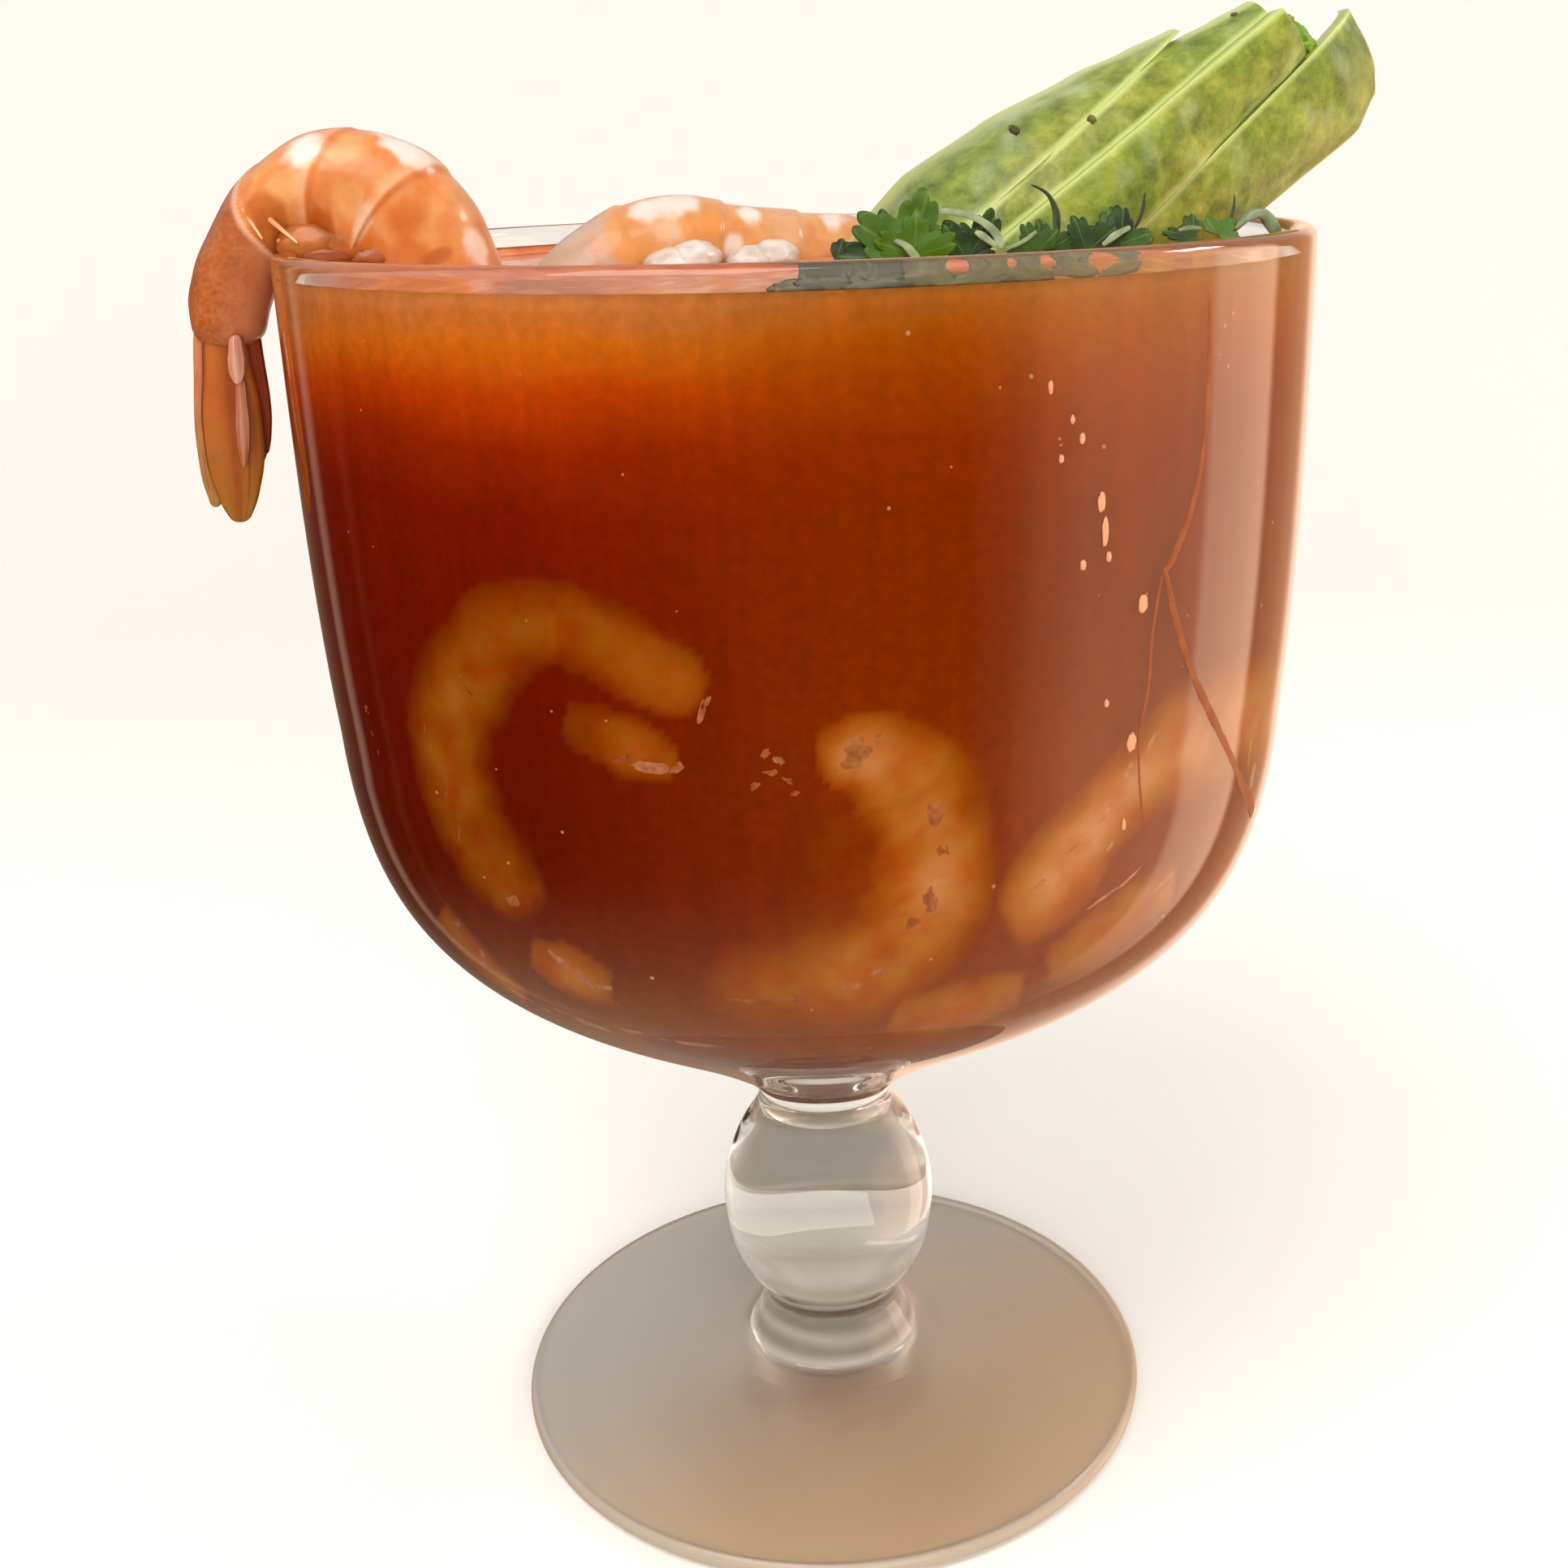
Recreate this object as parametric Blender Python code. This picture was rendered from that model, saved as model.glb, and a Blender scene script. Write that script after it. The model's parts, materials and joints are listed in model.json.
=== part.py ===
# Shrimp cocktail in its glass: a clear footed goblet filled almost to the rim with tomato cocktail
# sauce, one shrimp hooked over the rim, one arched out of the sauce, and a fan of avocado slices.
# The glass stands on its foot with its axis on Z, and the origin is the centre of the foot's underside.
# Sizes below are in millimetres; each mesh is turned into metres as it is finished.

import math
from collections import namedtuple

import bmesh
import bpy
from mathutils import Matrix, Vector

MM = 0.001
GAP = 0.3               # clearance between pieces that touch
SAUCE_CLEARANCE = 0.6   # between the sauce and what stands in it
RIM_CLEARANCE = 0.45    # between the glass and the slices that lean on its rim
MERGE = 0.00001         # metres, for closing seams and poles
SHARP_ANGLE = 35.0      # degrees; edges turning more than this stay sharp

# the glass
RIM_RADIUS = 57.5
RIM_HEIGHT = 152.5
WALL = 2.6
SHOULDER_RADIUS = 56.1  # where the round bowl turns into its nearly upright side
SHOULDER_HEIGHT = 100.0
SIDE_EASE = 3.2         # how early the upright side reaches the rim's width
BOWL_ROOT_RADIUS = 12.2 # where the bowl grows out of the stem
BOWL_ROOT_HEIGHT = 48.5
BOWL_SIDE_HANDLE = (1.3, 31.6)
BOWL_ROOT_HANDLE = (28.1, 21.4)
FLOOR_RADIUS = 24.0     # the cavity's rounded floor starts inside this radius
FLOOR_HEIGHT = 51.8     # lowest point of the cavity, on the axis
FOOT_RADIUS = 42.1
FOOT_EDGE = 2.4
FOOT_CROWN = 7.2        # height of the foot's top where it meets the stem's collar
FOOT_EASE = 1.6
COLLAR_RADIUS = 11.6
STEM = (                # radius and height, from the collar up through the ball to the neck
    (11.3, 7.7),
    (10.0, 10.2),
    (8.9, 12.6),
    (9.7, 15.2),
    (11.9, 18.2),
    (13.4, 22.3),
    (14.0, 27.0),
    (13.9, 30.5),
    (13.0, 34.3),
    (11.5, 38.0),
    (9.5, 41.2),
    (8.7, 43.6),
    (9.3, 45.6),
)
AROUND_GLASS = 40
BOWL_STEPS = 8
SIDE_STEPS = 3
LIP_STEPS = 4
FOOT_STEPS = 3
EDGE_STEPS = 4
STEM_STEPS = 12
FLOOR_STEPS = 3

# the sauce
SAUCE_LEVEL = 149.0
MENISCUS = 1.0          # how far the sauce climbs the wall
MENISCUS_WIDTH = 2.5
MENISCUS_BEND = (0.25, 0.35)  # where the climb bends, as shares of its width and height
EDGE_SPREAD = 0.9       # how far the sauce's edge has widened towards the rim's width

# shrimp hooked over the rim: radial distance, height, half depth and half width along its body
RIM_SHRIMP_AZIMUTH = 181.0
RIM_SHRIMP_BODY = (
    (65.4, 141.7, 2.6, 2.8),
    (65.1, 143.7, 4.1, 4.0),
    (64.2, 147.2, 4.7, 4.7),
    (62.3, 151.7, 4.4, 5.2),
    (59.2, 156.3, 4.2, 5.7),
    (53.6, 158.6, 5.8, 6.1),
    (48.0, 158.1, 6.9, 6.4),
    (43.9, 155.9, 7.0, 6.6),
    (40.5, 151.7, 6.6, 6.6),
    (39.0, 146.5, 6.0, 6.4),
    (40.0, 141.0, 5.5, 5.9),
    (42.8, 136.4, 4.4, 4.8),
)
# tail blades: root and tip as (radial, sideways, height), then half width, half thickness and turn
RIM_SHRIMP_BLADES = (
    ((64.9, -1.5, 144.4), (66.8, -1.5, 121.8), 2.75, 0.8, -6.0),
    ((67.2, -0.6, 144.6), (69.9, -0.6, 124.0), 1.7, 0.7, 10.0),
    ((62.7, 0.6, 144.2), (62.9, 0.6, 130.0), 1.15, 0.8, 8.0),
    ((64.0, 1.4, 144.2), (64.6, 1.4, 128.6), 1.9, 0.7, -10.0),
)

# shrimp arched out of the sauce, in an upright plane through MIDDLE_SHRIMP_START
MIDDLE_SHRIMP_START = (-32.6, 12.0)
MIDDLE_SHRIMP_TURN = 14.5
MIDDLE_SHRIMP_BODY = (
    (-1.2, 137.5, 3.9, 4.4),
    (1.6, 141.8, 5.2, 5.8),
    (6.2, 145.8, 5.8, 6.4),
    (11.8, 149.0, 6.0, 6.7),
    (17.8, 150.4, 6.1, 6.9),
    (24.0, 149.7, 6.0, 6.8),
    (30.0, 148.8, 5.8, 6.6),
    (36.0, 148.3, 5.6, 6.4),
    (41.4, 147.3, 5.3, 6.0),
    (45.2, 143.5, 4.6, 5.2),
    (46.2, 138.5, 3.6, 4.0),
)
SEGMENTS = 6            # plates of a shrimp's back
SEGMENT_STEP = 0.05     # how far each plate stands over the next, as a share of its size
SHRIMP_SIDES = 12
SHRIMP_RINGS = 24
RIM_SHRIMP_CAP = 0.05   # share of the length in which each end rounds off
MIDDLE_SHRIMP_CAP = 0.06
BLADE_SHAPE = (         # share of the length and of the half width: narrow root, pointed tip
    (0.0, 0.55),
    (0.25, 0.75),
    (0.5, 0.95),
    (0.7, 1.0),
    (0.88, 0.72),
    (1.0, 0.3),
)
BLADE_THINNING = 0.6    # share of a blade's thickness lost by its tip
BLADE_CAP = 0.12
BLADE_SIDES = 6
BLADE_RINGS = 8
TANGENT_REACH = 0.01    # share of a tube's length over which its direction is taken

# avocado: the axis runs from the lower end to the stem end, the outer skin side looks along BULGE
STEM_END = (54.4, 9.0, 173.4)
LONG_AXIS = (0.765, 0.03, 0.642)
ACROSS = (0.643, 0.0, -0.766)
SIDE_OUTLINE = (        # distance from the stem end and half width, at the side
    (0.0, 4.6),
    (5.0, 6.0),
    (8.5, 6.9),
    (14.0, 8.6),
    (20.0, 10.6),
    (31.0, 13.5),
    (42.0, 15.2),
    (50.0, 14.4),
    (58.0, 11.2),
    (64.0, 6.6),
)
PEAR_OUTLINE = (        # the same along the middle, which narrows to the stem
    (0.0, 3.4),
    (4.0, 4.4),
    (8.5, 5.6),
    (14.0, 8.4),
    (20.0, 11.0),
    (31.0, 13.2),
    (42.0, 15.0),
    (50.0, 14.3),
    (58.0, 11.2),
    (64.0, 6.6),
)
BLUNT_OUTLINE = (       # the last slice has a blunt, finger-like upper end
    (0.0, 11.0),
    (0.8, 14.0),
    (2.5, 15.8),
    (7.0, 17.4),
    (18.0, 16.2),
    (32.0, 14.6),
    (44.0, 13.2),
    (52.0, 10.6),
    (58.0, 6.6),
)
OUTLINE_EASE = 0.3      # how much an outline eases into each of its stations
PIT_RADIUS = 12.5
PIT_PLACE = 40.0        # from the stem end
PIT_DEPTH = 8.5
Slice = namedtuple("Slice", (
    "outline",
    "low",              # the two cuts: place across the half, and lean per millimetre of length
    "low_lean",
    "high",
    "high_lean",
    "slide",            # how far it slid towards the stem end
    "lift",             # how far it stands out, at the stem end and per millimetre of length
    "tilt",
    "roundness",        # depth of the outer side against half its width
    "thickness",        # no thicker than this behind its outer side
))
SLICES = (
    Slice(SIDE_OUTLINE, -16.0, -0.03, -6.2, -0.03, 0.0, 0.0, 0.0, 1.25, 40.0),
    Slice(PEAR_OUTLINE, -5.9, -0.03, -1.45, -0.075, -0.2, 0.3, 0.0, 1.25, 40.0),
    Slice(PEAR_OUTLINE, -1.08, -0.075, 5.05, 0.01, 0.4, 1.2, 0.0, 1.25, 40.0),
    Slice(BLUNT_OUTLINE, 5.3, 0.01, 20.0, 0.0, 8.9, -9.0, 0.42, 0.66, 4.0),
)
END_SEARCH = 200        # steps in which a slice's two ends are looked for
SLICE_LENGTHS = 15
SLICE_WIDTHS = 4
SLICE_DEPTHS = 2
EDGE_FLESH = 1.6        # least thickness of a slice at its thin outer edge
LEAST_WIDTH = 1.0       # a slice ends where it gets narrower than this
END_CROWDING = 0.6      # how much closer together the steps are at a slice's ends

# colour, roughness and transmission
CLEAR_GLASS = ((0.93, 0.94, 0.93), 0.02, 1.0)
COCKTAIL_SAUCE = ((0.36, 0.05, 0.008), 0.12, 0.0)
COOKED_SHRIMP = ((0.83, 0.40, 0.19), 0.35, 0.0)
AVOCADO_FLESH = ((0.40, 0.47, 0.09), 0.5, 0.0)


def clear_scene():
    for item in list(bpy.data.objects):
        bpy.data.objects.remove(item, do_unlink=True)


def principled(name, colour, roughness, transmission):
    material = bpy.data.materials.new(name)
    material.use_nodes = True
    shader = material.node_tree.nodes["Principled BSDF"]
    shader.inputs["Base Color"].default_value = (*colour, 1.0)
    shader.inputs["Roughness"].default_value = roughness
    shader.inputs["Metallic"].default_value = 0.0
    shader.inputs["Transmission Weight"].default_value = transmission
    return material


def add_object(name, bm, material):
    """Turn a mesh in millimetres into an object in metres with its faces pointing out."""
    bmesh.ops.scale(bm, vec=(MM, MM, MM), verts=bm.verts)
    bmesh.ops.remove_doubles(bm, verts=bm.verts, dist=MERGE)
    bmesh.ops.recalc_face_normals(bm, faces=bm.faces)
    mesh = bpy.data.meshes.new(name)
    bm.to_mesh(mesh)
    bm.free()
    mesh.materials.append(material)
    mesh.shade_smooth()
    mesh.set_sharp_from_angle(angle=math.radians(SHARP_ANGLE))
    item = bpy.data.objects.new(name, mesh)
    bpy.context.scene.collection.objects.link(item)
    return item


def make_tool(item, grow=0.0):
    """Turn an object into a Boolean tool, swollen by grow millimetres."""
    item.hide_render = True
    item.display_type = "WIRE"
    if grow:
        swell = item.modifiers.new("Clearance", "DISPLACE")
        swell.direction = "NORMAL"
        swell.mid_level = 0.0
        swell.strength = grow * MM
    return item


def boolean(item, tool, operation):
    step = item.modifiers.new(tool.name, "BOOLEAN")
    step.operation = operation
    step.solver = "EXACT"
    step.object = tool


def catmull_rom(before, start, end, after, part):
    """Value at part of the way from start to end on a smooth curve through all four."""
    slope_in = 0.5 * (end - before)
    slope_out = 0.5 * (after - start)
    square = part * part
    cube = square * part
    return ((2 * cube - 3 * square + 1) * start + (cube - 2 * square + part) * slope_in
            + (3 * square - 2 * cube) * end + (cube - square) * slope_out)


def along_stations(stations, position):
    """Smoothly interpolated station at position, from 0 at the first to 1 at the last."""
    last = len(stations) - 1
    place = min(max(position, 0.0), 1.0) * last
    index = min(int(place), last - 1)
    before = stations[max(index - 1, 0)]
    after = stations[min(index + 2, last)]
    values = zip(before, stations[index], stations[index + 1], after)
    return [catmull_rom(*four, place - index) for four in values]


def bezier(start, handle_a, handle_b, end, part):
    rest = 1.0 - part
    weights = (rest ** 3, 3 * rest ** 2 * part, 3 * rest * part ** 2, part ** 3)
    corners = (start, handle_a, handle_b, end)
    return tuple(sum(w * c[axis] for w, c in zip(weights, corners)) for axis in (0, 1))


# ---- glass and sauce ----

def bowl_side():
    """Outer side of the bowl from the stem up to just under the lip, as radius and height."""
    start = (BOWL_ROOT_RADIUS, BOWL_ROOT_HEIGHT)
    end = (SHOULDER_RADIUS, SHOULDER_HEIGHT)
    handle_a = (start[0] + BOWL_ROOT_HANDLE[0], start[1] + BOWL_ROOT_HANDLE[1])
    handle_b = (end[0] - BOWL_SIDE_HANDLE[0], end[1] - BOWL_SIDE_HANDLE[1])
    points = [bezier(start, handle_a, handle_b, end, step / BOWL_STEPS) for step in range(BOWL_STEPS)]
    lip_start = RIM_HEIGHT - WALL / 2
    for step in range(SIDE_STEPS + 1):
        part = step / SIDE_STEPS
        spread = 1.0 - (1.0 - part) ** SIDE_EASE
        radius = SHOULDER_RADIUS + (RIM_RADIUS - SHOULDER_RADIUS) * spread
        points.append((radius, SHOULDER_HEIGHT + (lip_start - SHOULDER_HEIGHT) * part))
    return points


def offset_inward(points, distance):
    """The same outline moved towards the axis side by distance."""
    moved = []
    for index, (radius, height) in enumerate(points):
        ahead = points[min(index + 1, len(points) - 1)]
        behind = points[max(index - 1, 0)]
        run = Vector((ahead[0] - behind[0], ahead[1] - behind[1])).normalized()
        moved.append((radius - run.y * distance, height + run.x * distance))
    return moved


def cavity_side(inset):
    """Inner side of the bowl, inset from the outer side, from the axis up."""
    wall = [point for point in offset_inward(bowl_side(), inset) if point[0] > FLOOR_RADIUS]
    edge_radius, edge_height = wall[0]
    floor = FLOOR_HEIGHT + inset - WALL
    dish = []
    for step in range(FLOOR_STEPS):
        part = step / FLOOR_STEPS
        dish.append((edge_radius * part, floor + (edge_height - floor) * part ** 2))
    return dish + wall


def foot_outline():
    """Underside, rounded edge and gently rising top of the foot."""
    half_edge = FOOT_EDGE / 2
    points = [(0.0, 0.0)]
    for step in range(EDGE_STEPS + 1):
        angle = math.radians(-90 + 180 * step / EDGE_STEPS)
        points.append((FOOT_RADIUS - half_edge + half_edge * math.cos(angle),
                       half_edge + half_edge * math.sin(angle)))
    for step in range(1, FOOT_STEPS + 1):
        part = step / FOOT_STEPS
        radius = FOOT_RADIUS - half_edge + (COLLAR_RADIUS + half_edge - FOOT_RADIUS) * part
        points.append((radius, FOOT_EDGE + (FOOT_CROWN - FOOT_EDGE) * part ** FOOT_EASE))
    return points


def lip():
    """Half-round top of the wall, from its outer side to its inner side."""
    half_wall = WALL / 2
    points = []
    for step in range(1, LIP_STEPS):
        angle = math.pi * step / LIP_STEPS
        points.append((RIM_RADIUS - half_wall + half_wall * math.cos(angle),
                       RIM_HEIGHT - half_wall + half_wall * math.sin(angle)))
    return points


def spin_outline(points):
    """Turn an outline that starts and ends on the axis into a closed body."""
    bm = bmesh.new()
    corners = [bm.verts.new((radius, 0.0, height)) for radius, height in points]
    edges = [bm.edges.new(pair) for pair in zip(corners, corners[1:])]
    bmesh.ops.spin(bm, geom=corners + edges, cent=(0, 0, 0), axis=(0, 0, 1), angle=2 * math.pi,
                   steps=AROUND_GLASS, use_merge=True)
    return bm


def make_goblet(material):
    stem = [tuple(along_stations(STEM, step / STEM_STEPS)) for step in range(STEM_STEPS + 1)]
    outline = foot_outline() + stem + bowl_side() + lip() + cavity_side(WALL)[::-1]
    return add_object("goblet", spin_outline(outline), material)


def make_sauce(material):
    wall = [point for point in cavity_side(WALL + GAP) if point[1] < SAUCE_LEVEL - MENISCUS_WIDTH]
    edge = wall[-1][0] + (RIM_RADIUS - WALL - GAP - wall[-1][0]) * EDGE_SPREAD
    bend_width, bend_height = MENISCUS_BEND
    top = [
        (edge, SAUCE_LEVEL + MENISCUS),
        (edge - bend_width * MENISCUS_WIDTH, SAUCE_LEVEL + bend_height * MENISCUS),
        (edge - MENISCUS_WIDTH, SAUCE_LEVEL),
        (0.0, SAUCE_LEVEL),
    ]
    return add_object("sauce", spin_outline(wall + top), material)


# ---- shrimps ----

def rounded_end(position, cap):
    """Size factor that closes a tube in a rounded end within cap of either end."""
    depth = min(position, 1.0 - position) / cap
    if depth >= 1.0:
        return 1.0
    return math.sqrt(max(0.0, 1.0 - (1.0 - depth) ** 2))


def plate_step(position):
    """Size factor of the overlapping plates: each swells and then drops to the next."""
    phase = (position * SEGMENTS) % 1.0
    return 1.0 + SEGMENT_STEP * (phase ** 2 - 0.5)


def tube(stations, side, sides, rings, cap, swell):
    """Closed tube through (x, y, z, half depth, half width) stations; side is its width's direction."""
    bm = bmesh.new()
    bmesh.ops.create_grid(bm, x_segments=sides, y_segments=rings, size=0.5)
    for vert in bm.verts:
        around = 2 * math.pi * (vert.co.x + 0.5)
        position = vert.co.y + 0.5
        here = along_stations(stations, position)
        ahead = Vector(along_stations(stations, position + TANGENT_REACH)[:3])
        behind = Vector(along_stations(stations, position - TANGENT_REACH)[:3])
        depth = side.cross((ahead - behind).normalized()).normalized()
        size = rounded_end(position, cap) * swell(position)
        vert.co = (Vector(here[:3]) + depth * (here[3] * size * math.cos(around))
                   + side * (here[4] * size * math.sin(around)))
    return bm


def blade_stations(root, tip, half_width, half_thickness):
    """Stations of a leaf-like blade from root to tip."""
    stations = []
    for part, width in BLADE_SHAPE:
        place = root.lerp(tip, part)
        stations.append((*place, half_width * width, half_thickness * (1.0 - BLADE_THINNING * part)))
    return stations


def plane_to_world(radial, sideways, height, out, side):
    return out * radial + side * sideways + Vector((0.0, 0.0, height))


def make_rim_shrimp(material):
    angle = math.radians(RIM_SHRIMP_AZIMUTH)
    out = Vector((math.cos(angle), math.sin(angle), 0.0))
    side = out.cross(Vector((0.0, 0.0, 1.0)))
    stations = [(*plane_to_world(radial, 0.0, height, out, side), depth, width)
                for radial, height, depth, width in RIM_SHRIMP_BODY]
    shape = tube(stations, side, SHRIMP_SIDES, SHRIMP_RINGS, RIM_SHRIMP_CAP, plate_step)
    body = add_object("shrimp_rim", shape, material)
    for number, (root, tip, width, thickness, turn) in enumerate(RIM_SHRIMP_BLADES):
        start = plane_to_world(*root, out, side)
        end = plane_to_world(*tip, out, side)
        face = Matrix.Rotation(math.radians(turn), 3, (end - start).normalized()) @ side
        shape = tube(blade_stations(start, end, width, thickness), face, BLADE_SIDES, BLADE_RINGS,
                     BLADE_CAP, lambda position: 1.0)
        blade = add_object(f"tail_blade_{number + 1}", shape, material)
        boolean(body, make_tool(blade), "UNION")
    return body


def make_middle_shrimp(material):
    angle = math.radians(MIDDLE_SHRIMP_TURN)
    along = Vector((math.cos(angle), math.sin(angle), 0.0))
    side = along.cross(Vector((0.0, 0.0, 1.0)))
    start = Vector((*MIDDLE_SHRIMP_START, 0.0))
    stations = [(*(start + plane_to_world(run, 0.0, height, along, side)), depth, width)
                for run, height, depth, width in MIDDLE_SHRIMP_BODY]
    shape = tube(stations, side, SHRIMP_SIDES, SHRIMP_RINGS, MIDDLE_SHRIMP_CAP, plate_step)
    return add_object("shrimp_middle", shape, material)


# ---- avocado ----

def outline_width(outline, distance):
    """Half width of the avocado at a distance from its stem end."""
    for (near, width_near), (far, width_far) in zip(outline, outline[1:]):
        if distance <= far:
            part = max(0.0, (distance - near) / (far - near))
            ease = part * part * (3.0 - 2.0 * part) * OUTLINE_EASE + part * (1.0 - OUTLINE_EASE)
            return width_near + (width_far - width_near) * ease
    return outline[-1][1]


def pit_hollow(distance, across):
    """Depth of the hollow left by the pit on the flat side."""
    square = PIT_RADIUS ** 2 - (distance - PIT_PLACE) ** 2 - across ** 2
    return max(0.0, math.sqrt(max(square, 0.0)) - (PIT_RADIUS - PIT_DEPTH))


def slice_span(piece, distance):
    """Low and high side of a slice at a distance from the stem end."""
    limit = outline_width(piece.outline, distance)
    low = max(piece.low + piece.low_lean * distance, -limit)
    high = min(piece.high + piece.high_lean * distance, limit)
    return low, high


def slice_point(piece, distance, width_part, depth_part):
    """Place in a slice as (distance from the stem end, across, depth)."""
    low, high = slice_span(piece, distance)
    across = low + (high - low) * width_part
    limit = outline_width(piece.outline, distance)
    outer = piece.roundness * math.sqrt(max(limit ** 2 - across ** 2, 0.0)) + EDGE_FLESH
    inner = min(pit_hollow(distance, across), outer - EDGE_FLESH)
    inner = max(inner, outer - piece.thickness)
    depth = inner + (outer - inner) * depth_part
    return distance, across, depth + piece.lift + piece.tilt * distance


def divided_box(cuts):
    """Unit box around the origin, with its edges along X, Y and Z cut into equal parts."""
    bm = bmesh.new()
    bmesh.ops.create_cube(bm, size=1.0)
    for axis, count in enumerate(cuts):
        edges = [edge for edge in bm.edges
                 if abs(edge.verts[0].co[axis] - edge.verts[1].co[axis]) > 0.5]
        bmesh.ops.subdivide_edges(bm, edges=edges, cuts=count, use_grid_fill=True)
    return bm


def slice_mesh(piece):
    """Thin slice of the half, modelled flat in the avocado's own axes."""
    reach = [piece.outline[-1][0] * step / END_SEARCH for step in range(END_SEARCH + 1)]
    spans = [slice_span(piece, distance) for distance in reach]
    inside = [distance for distance, (low, high) in zip(reach, spans) if high - low > LEAST_WIDTH]
    bm = divided_box((SLICE_LENGTHS - 1, SLICE_WIDTHS - 1, SLICE_DEPTHS - 1))
    for vert in bm.verts:
        part = vert.co.x + 0.5
        part = part * part * (3.0 - 2.0 * part) * END_CROWDING + part * (1.0 - END_CROWDING)
        distance = inside[0] + (inside[-1] - inside[0]) * part
        vert.co = slice_point(piece, distance, vert.co.y + 0.5, vert.co.z + 0.5)
    return bm


def avocado_frame():
    """Axes of the avocado half: along towards the stem end, across, and out of its outer side."""
    long_axis = Vector(LONG_AXIS).normalized()
    across = Vector(ACROSS)
    across = (across - long_axis * across.dot(long_axis)).normalized()
    return long_axis, across, across.cross(long_axis)


def make_slices(material):
    long_axis, across, bulge = avocado_frame()
    turn = Matrix((-long_axis, across, bulge)).transposed()
    slices = []
    for number, piece in enumerate(SLICES):
        bm = slice_mesh(piece)
        place = Vector(STEM_END) + long_axis * piece.slide
        for vert in bm.verts:
            vert.co = place + turn @ vert.co
        slices.append(add_object(f"avocado_slice_{number + 1}", bm, material))
    return slices


def swollen_copy(item, grow):
    """A Boolean tool of an object's shape, grown by the clearance."""
    tool = bpy.data.objects.new(f"{item.name}_clearance", item.data.copy())
    bpy.context.scene.collection.objects.link(tool)
    return make_tool(tool, grow)


def main():
    clear_scene()
    glass = principled("clear glass", *CLEAR_GLASS)
    tomato = principled("cocktail sauce", *COCKTAIL_SAUCE)
    shrimp = principled("cooked shrimp", *COOKED_SHRIMP)
    flesh = principled("avocado flesh", *AVOCADO_FLESH)
    goblet = make_goblet(glass)
    sauce = make_sauce(tomato)
    garnish = [make_rim_shrimp(shrimp), make_middle_shrimp(shrimp)] + make_slices(flesh)
    for item in garnish:
        boolean(sauce, swollen_copy(item, SAUCE_CLEARANCE), "DIFFERENCE")
    rim = swollen_copy(goblet, RIM_CLEARANCE)
    for item in garnish[-2:]:
        boolean(item, rim, "DIFFERENCE")


main()
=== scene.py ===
import json
import math
import random

import bmesh
import bpy
from mathutils import Matrix, Vector, noise
from mathutils.bvhtree import BVHTree

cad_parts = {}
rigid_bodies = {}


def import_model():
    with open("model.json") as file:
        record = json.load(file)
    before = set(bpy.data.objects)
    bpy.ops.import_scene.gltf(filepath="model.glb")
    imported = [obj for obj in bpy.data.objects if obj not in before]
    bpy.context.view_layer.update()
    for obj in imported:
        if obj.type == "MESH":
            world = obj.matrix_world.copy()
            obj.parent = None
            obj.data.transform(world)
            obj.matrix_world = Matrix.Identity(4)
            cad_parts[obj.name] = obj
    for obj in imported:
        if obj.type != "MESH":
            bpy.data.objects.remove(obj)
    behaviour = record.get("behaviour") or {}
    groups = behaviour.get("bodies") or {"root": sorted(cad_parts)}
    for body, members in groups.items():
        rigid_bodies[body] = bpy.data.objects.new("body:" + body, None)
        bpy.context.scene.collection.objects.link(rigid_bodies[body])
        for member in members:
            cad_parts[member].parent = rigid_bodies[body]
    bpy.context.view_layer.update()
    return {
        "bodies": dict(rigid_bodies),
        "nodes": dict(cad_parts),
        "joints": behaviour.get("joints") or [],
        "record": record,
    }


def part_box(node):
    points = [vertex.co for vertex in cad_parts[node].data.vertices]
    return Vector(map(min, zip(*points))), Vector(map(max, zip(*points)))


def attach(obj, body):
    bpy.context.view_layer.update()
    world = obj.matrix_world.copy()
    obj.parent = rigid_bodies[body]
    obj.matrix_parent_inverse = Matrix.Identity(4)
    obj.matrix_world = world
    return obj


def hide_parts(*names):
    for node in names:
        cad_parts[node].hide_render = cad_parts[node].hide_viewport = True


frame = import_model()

# Shrimp cocktail in a footed goblet. Sizes are in millimetres until a piece is finished.
mm = 0.001
up = Vector((0.0, 0.0, 1.0))
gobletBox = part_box("goblet")
rimRadius = gobletBox[1].x / mm
rimHeight = gobletBox[1].z / mm
meniscus = 1.0  # how far the sauce climbs the wall
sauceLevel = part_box("sauce")[1].z / mm - meniscus


def srgb(hexColour):
    values = [int(hexColour[index:index + 2], 16) / 255 for index in (1, 3, 5)]
    return tuple(v / 12.92 if v <= 0.04045 else ((v + 0.055) / 1.055) ** 2.4 for v in values)


def mixed(a, b, part):
    part = min(max(part, 0.0), 1.0)
    return tuple(x + (y - x) * part for x, y in zip(a, b))


def smooth(low, high, value):
    part = min(max((value - low) / (high - low), 0.0), 1.0)
    return part * part * (3 - 2 * part)


def catmull(before, start, end, after, part):
    slopeIn = 0.5 * (end - before)
    slopeOut = 0.5 * (after - start)
    square = part * part
    cube = square * part
    return ((2 * cube - 3 * square + 1) * start + (cube - 2 * square + part) * slopeIn
            + (3 * square - 2 * cube) * end + (cube - square) * slopeOut)


def alongStations(stations, position):
    last = len(stations) - 1
    place = min(max(position, 0.0), 1.0) * last
    index = min(int(place), last - 1)
    values = zip(stations[max(index - 1, 0)], stations[index], stations[index + 1],
                 stations[min(index + 2, last)])
    return [catmull(*four, place - index) for four in values]


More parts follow.
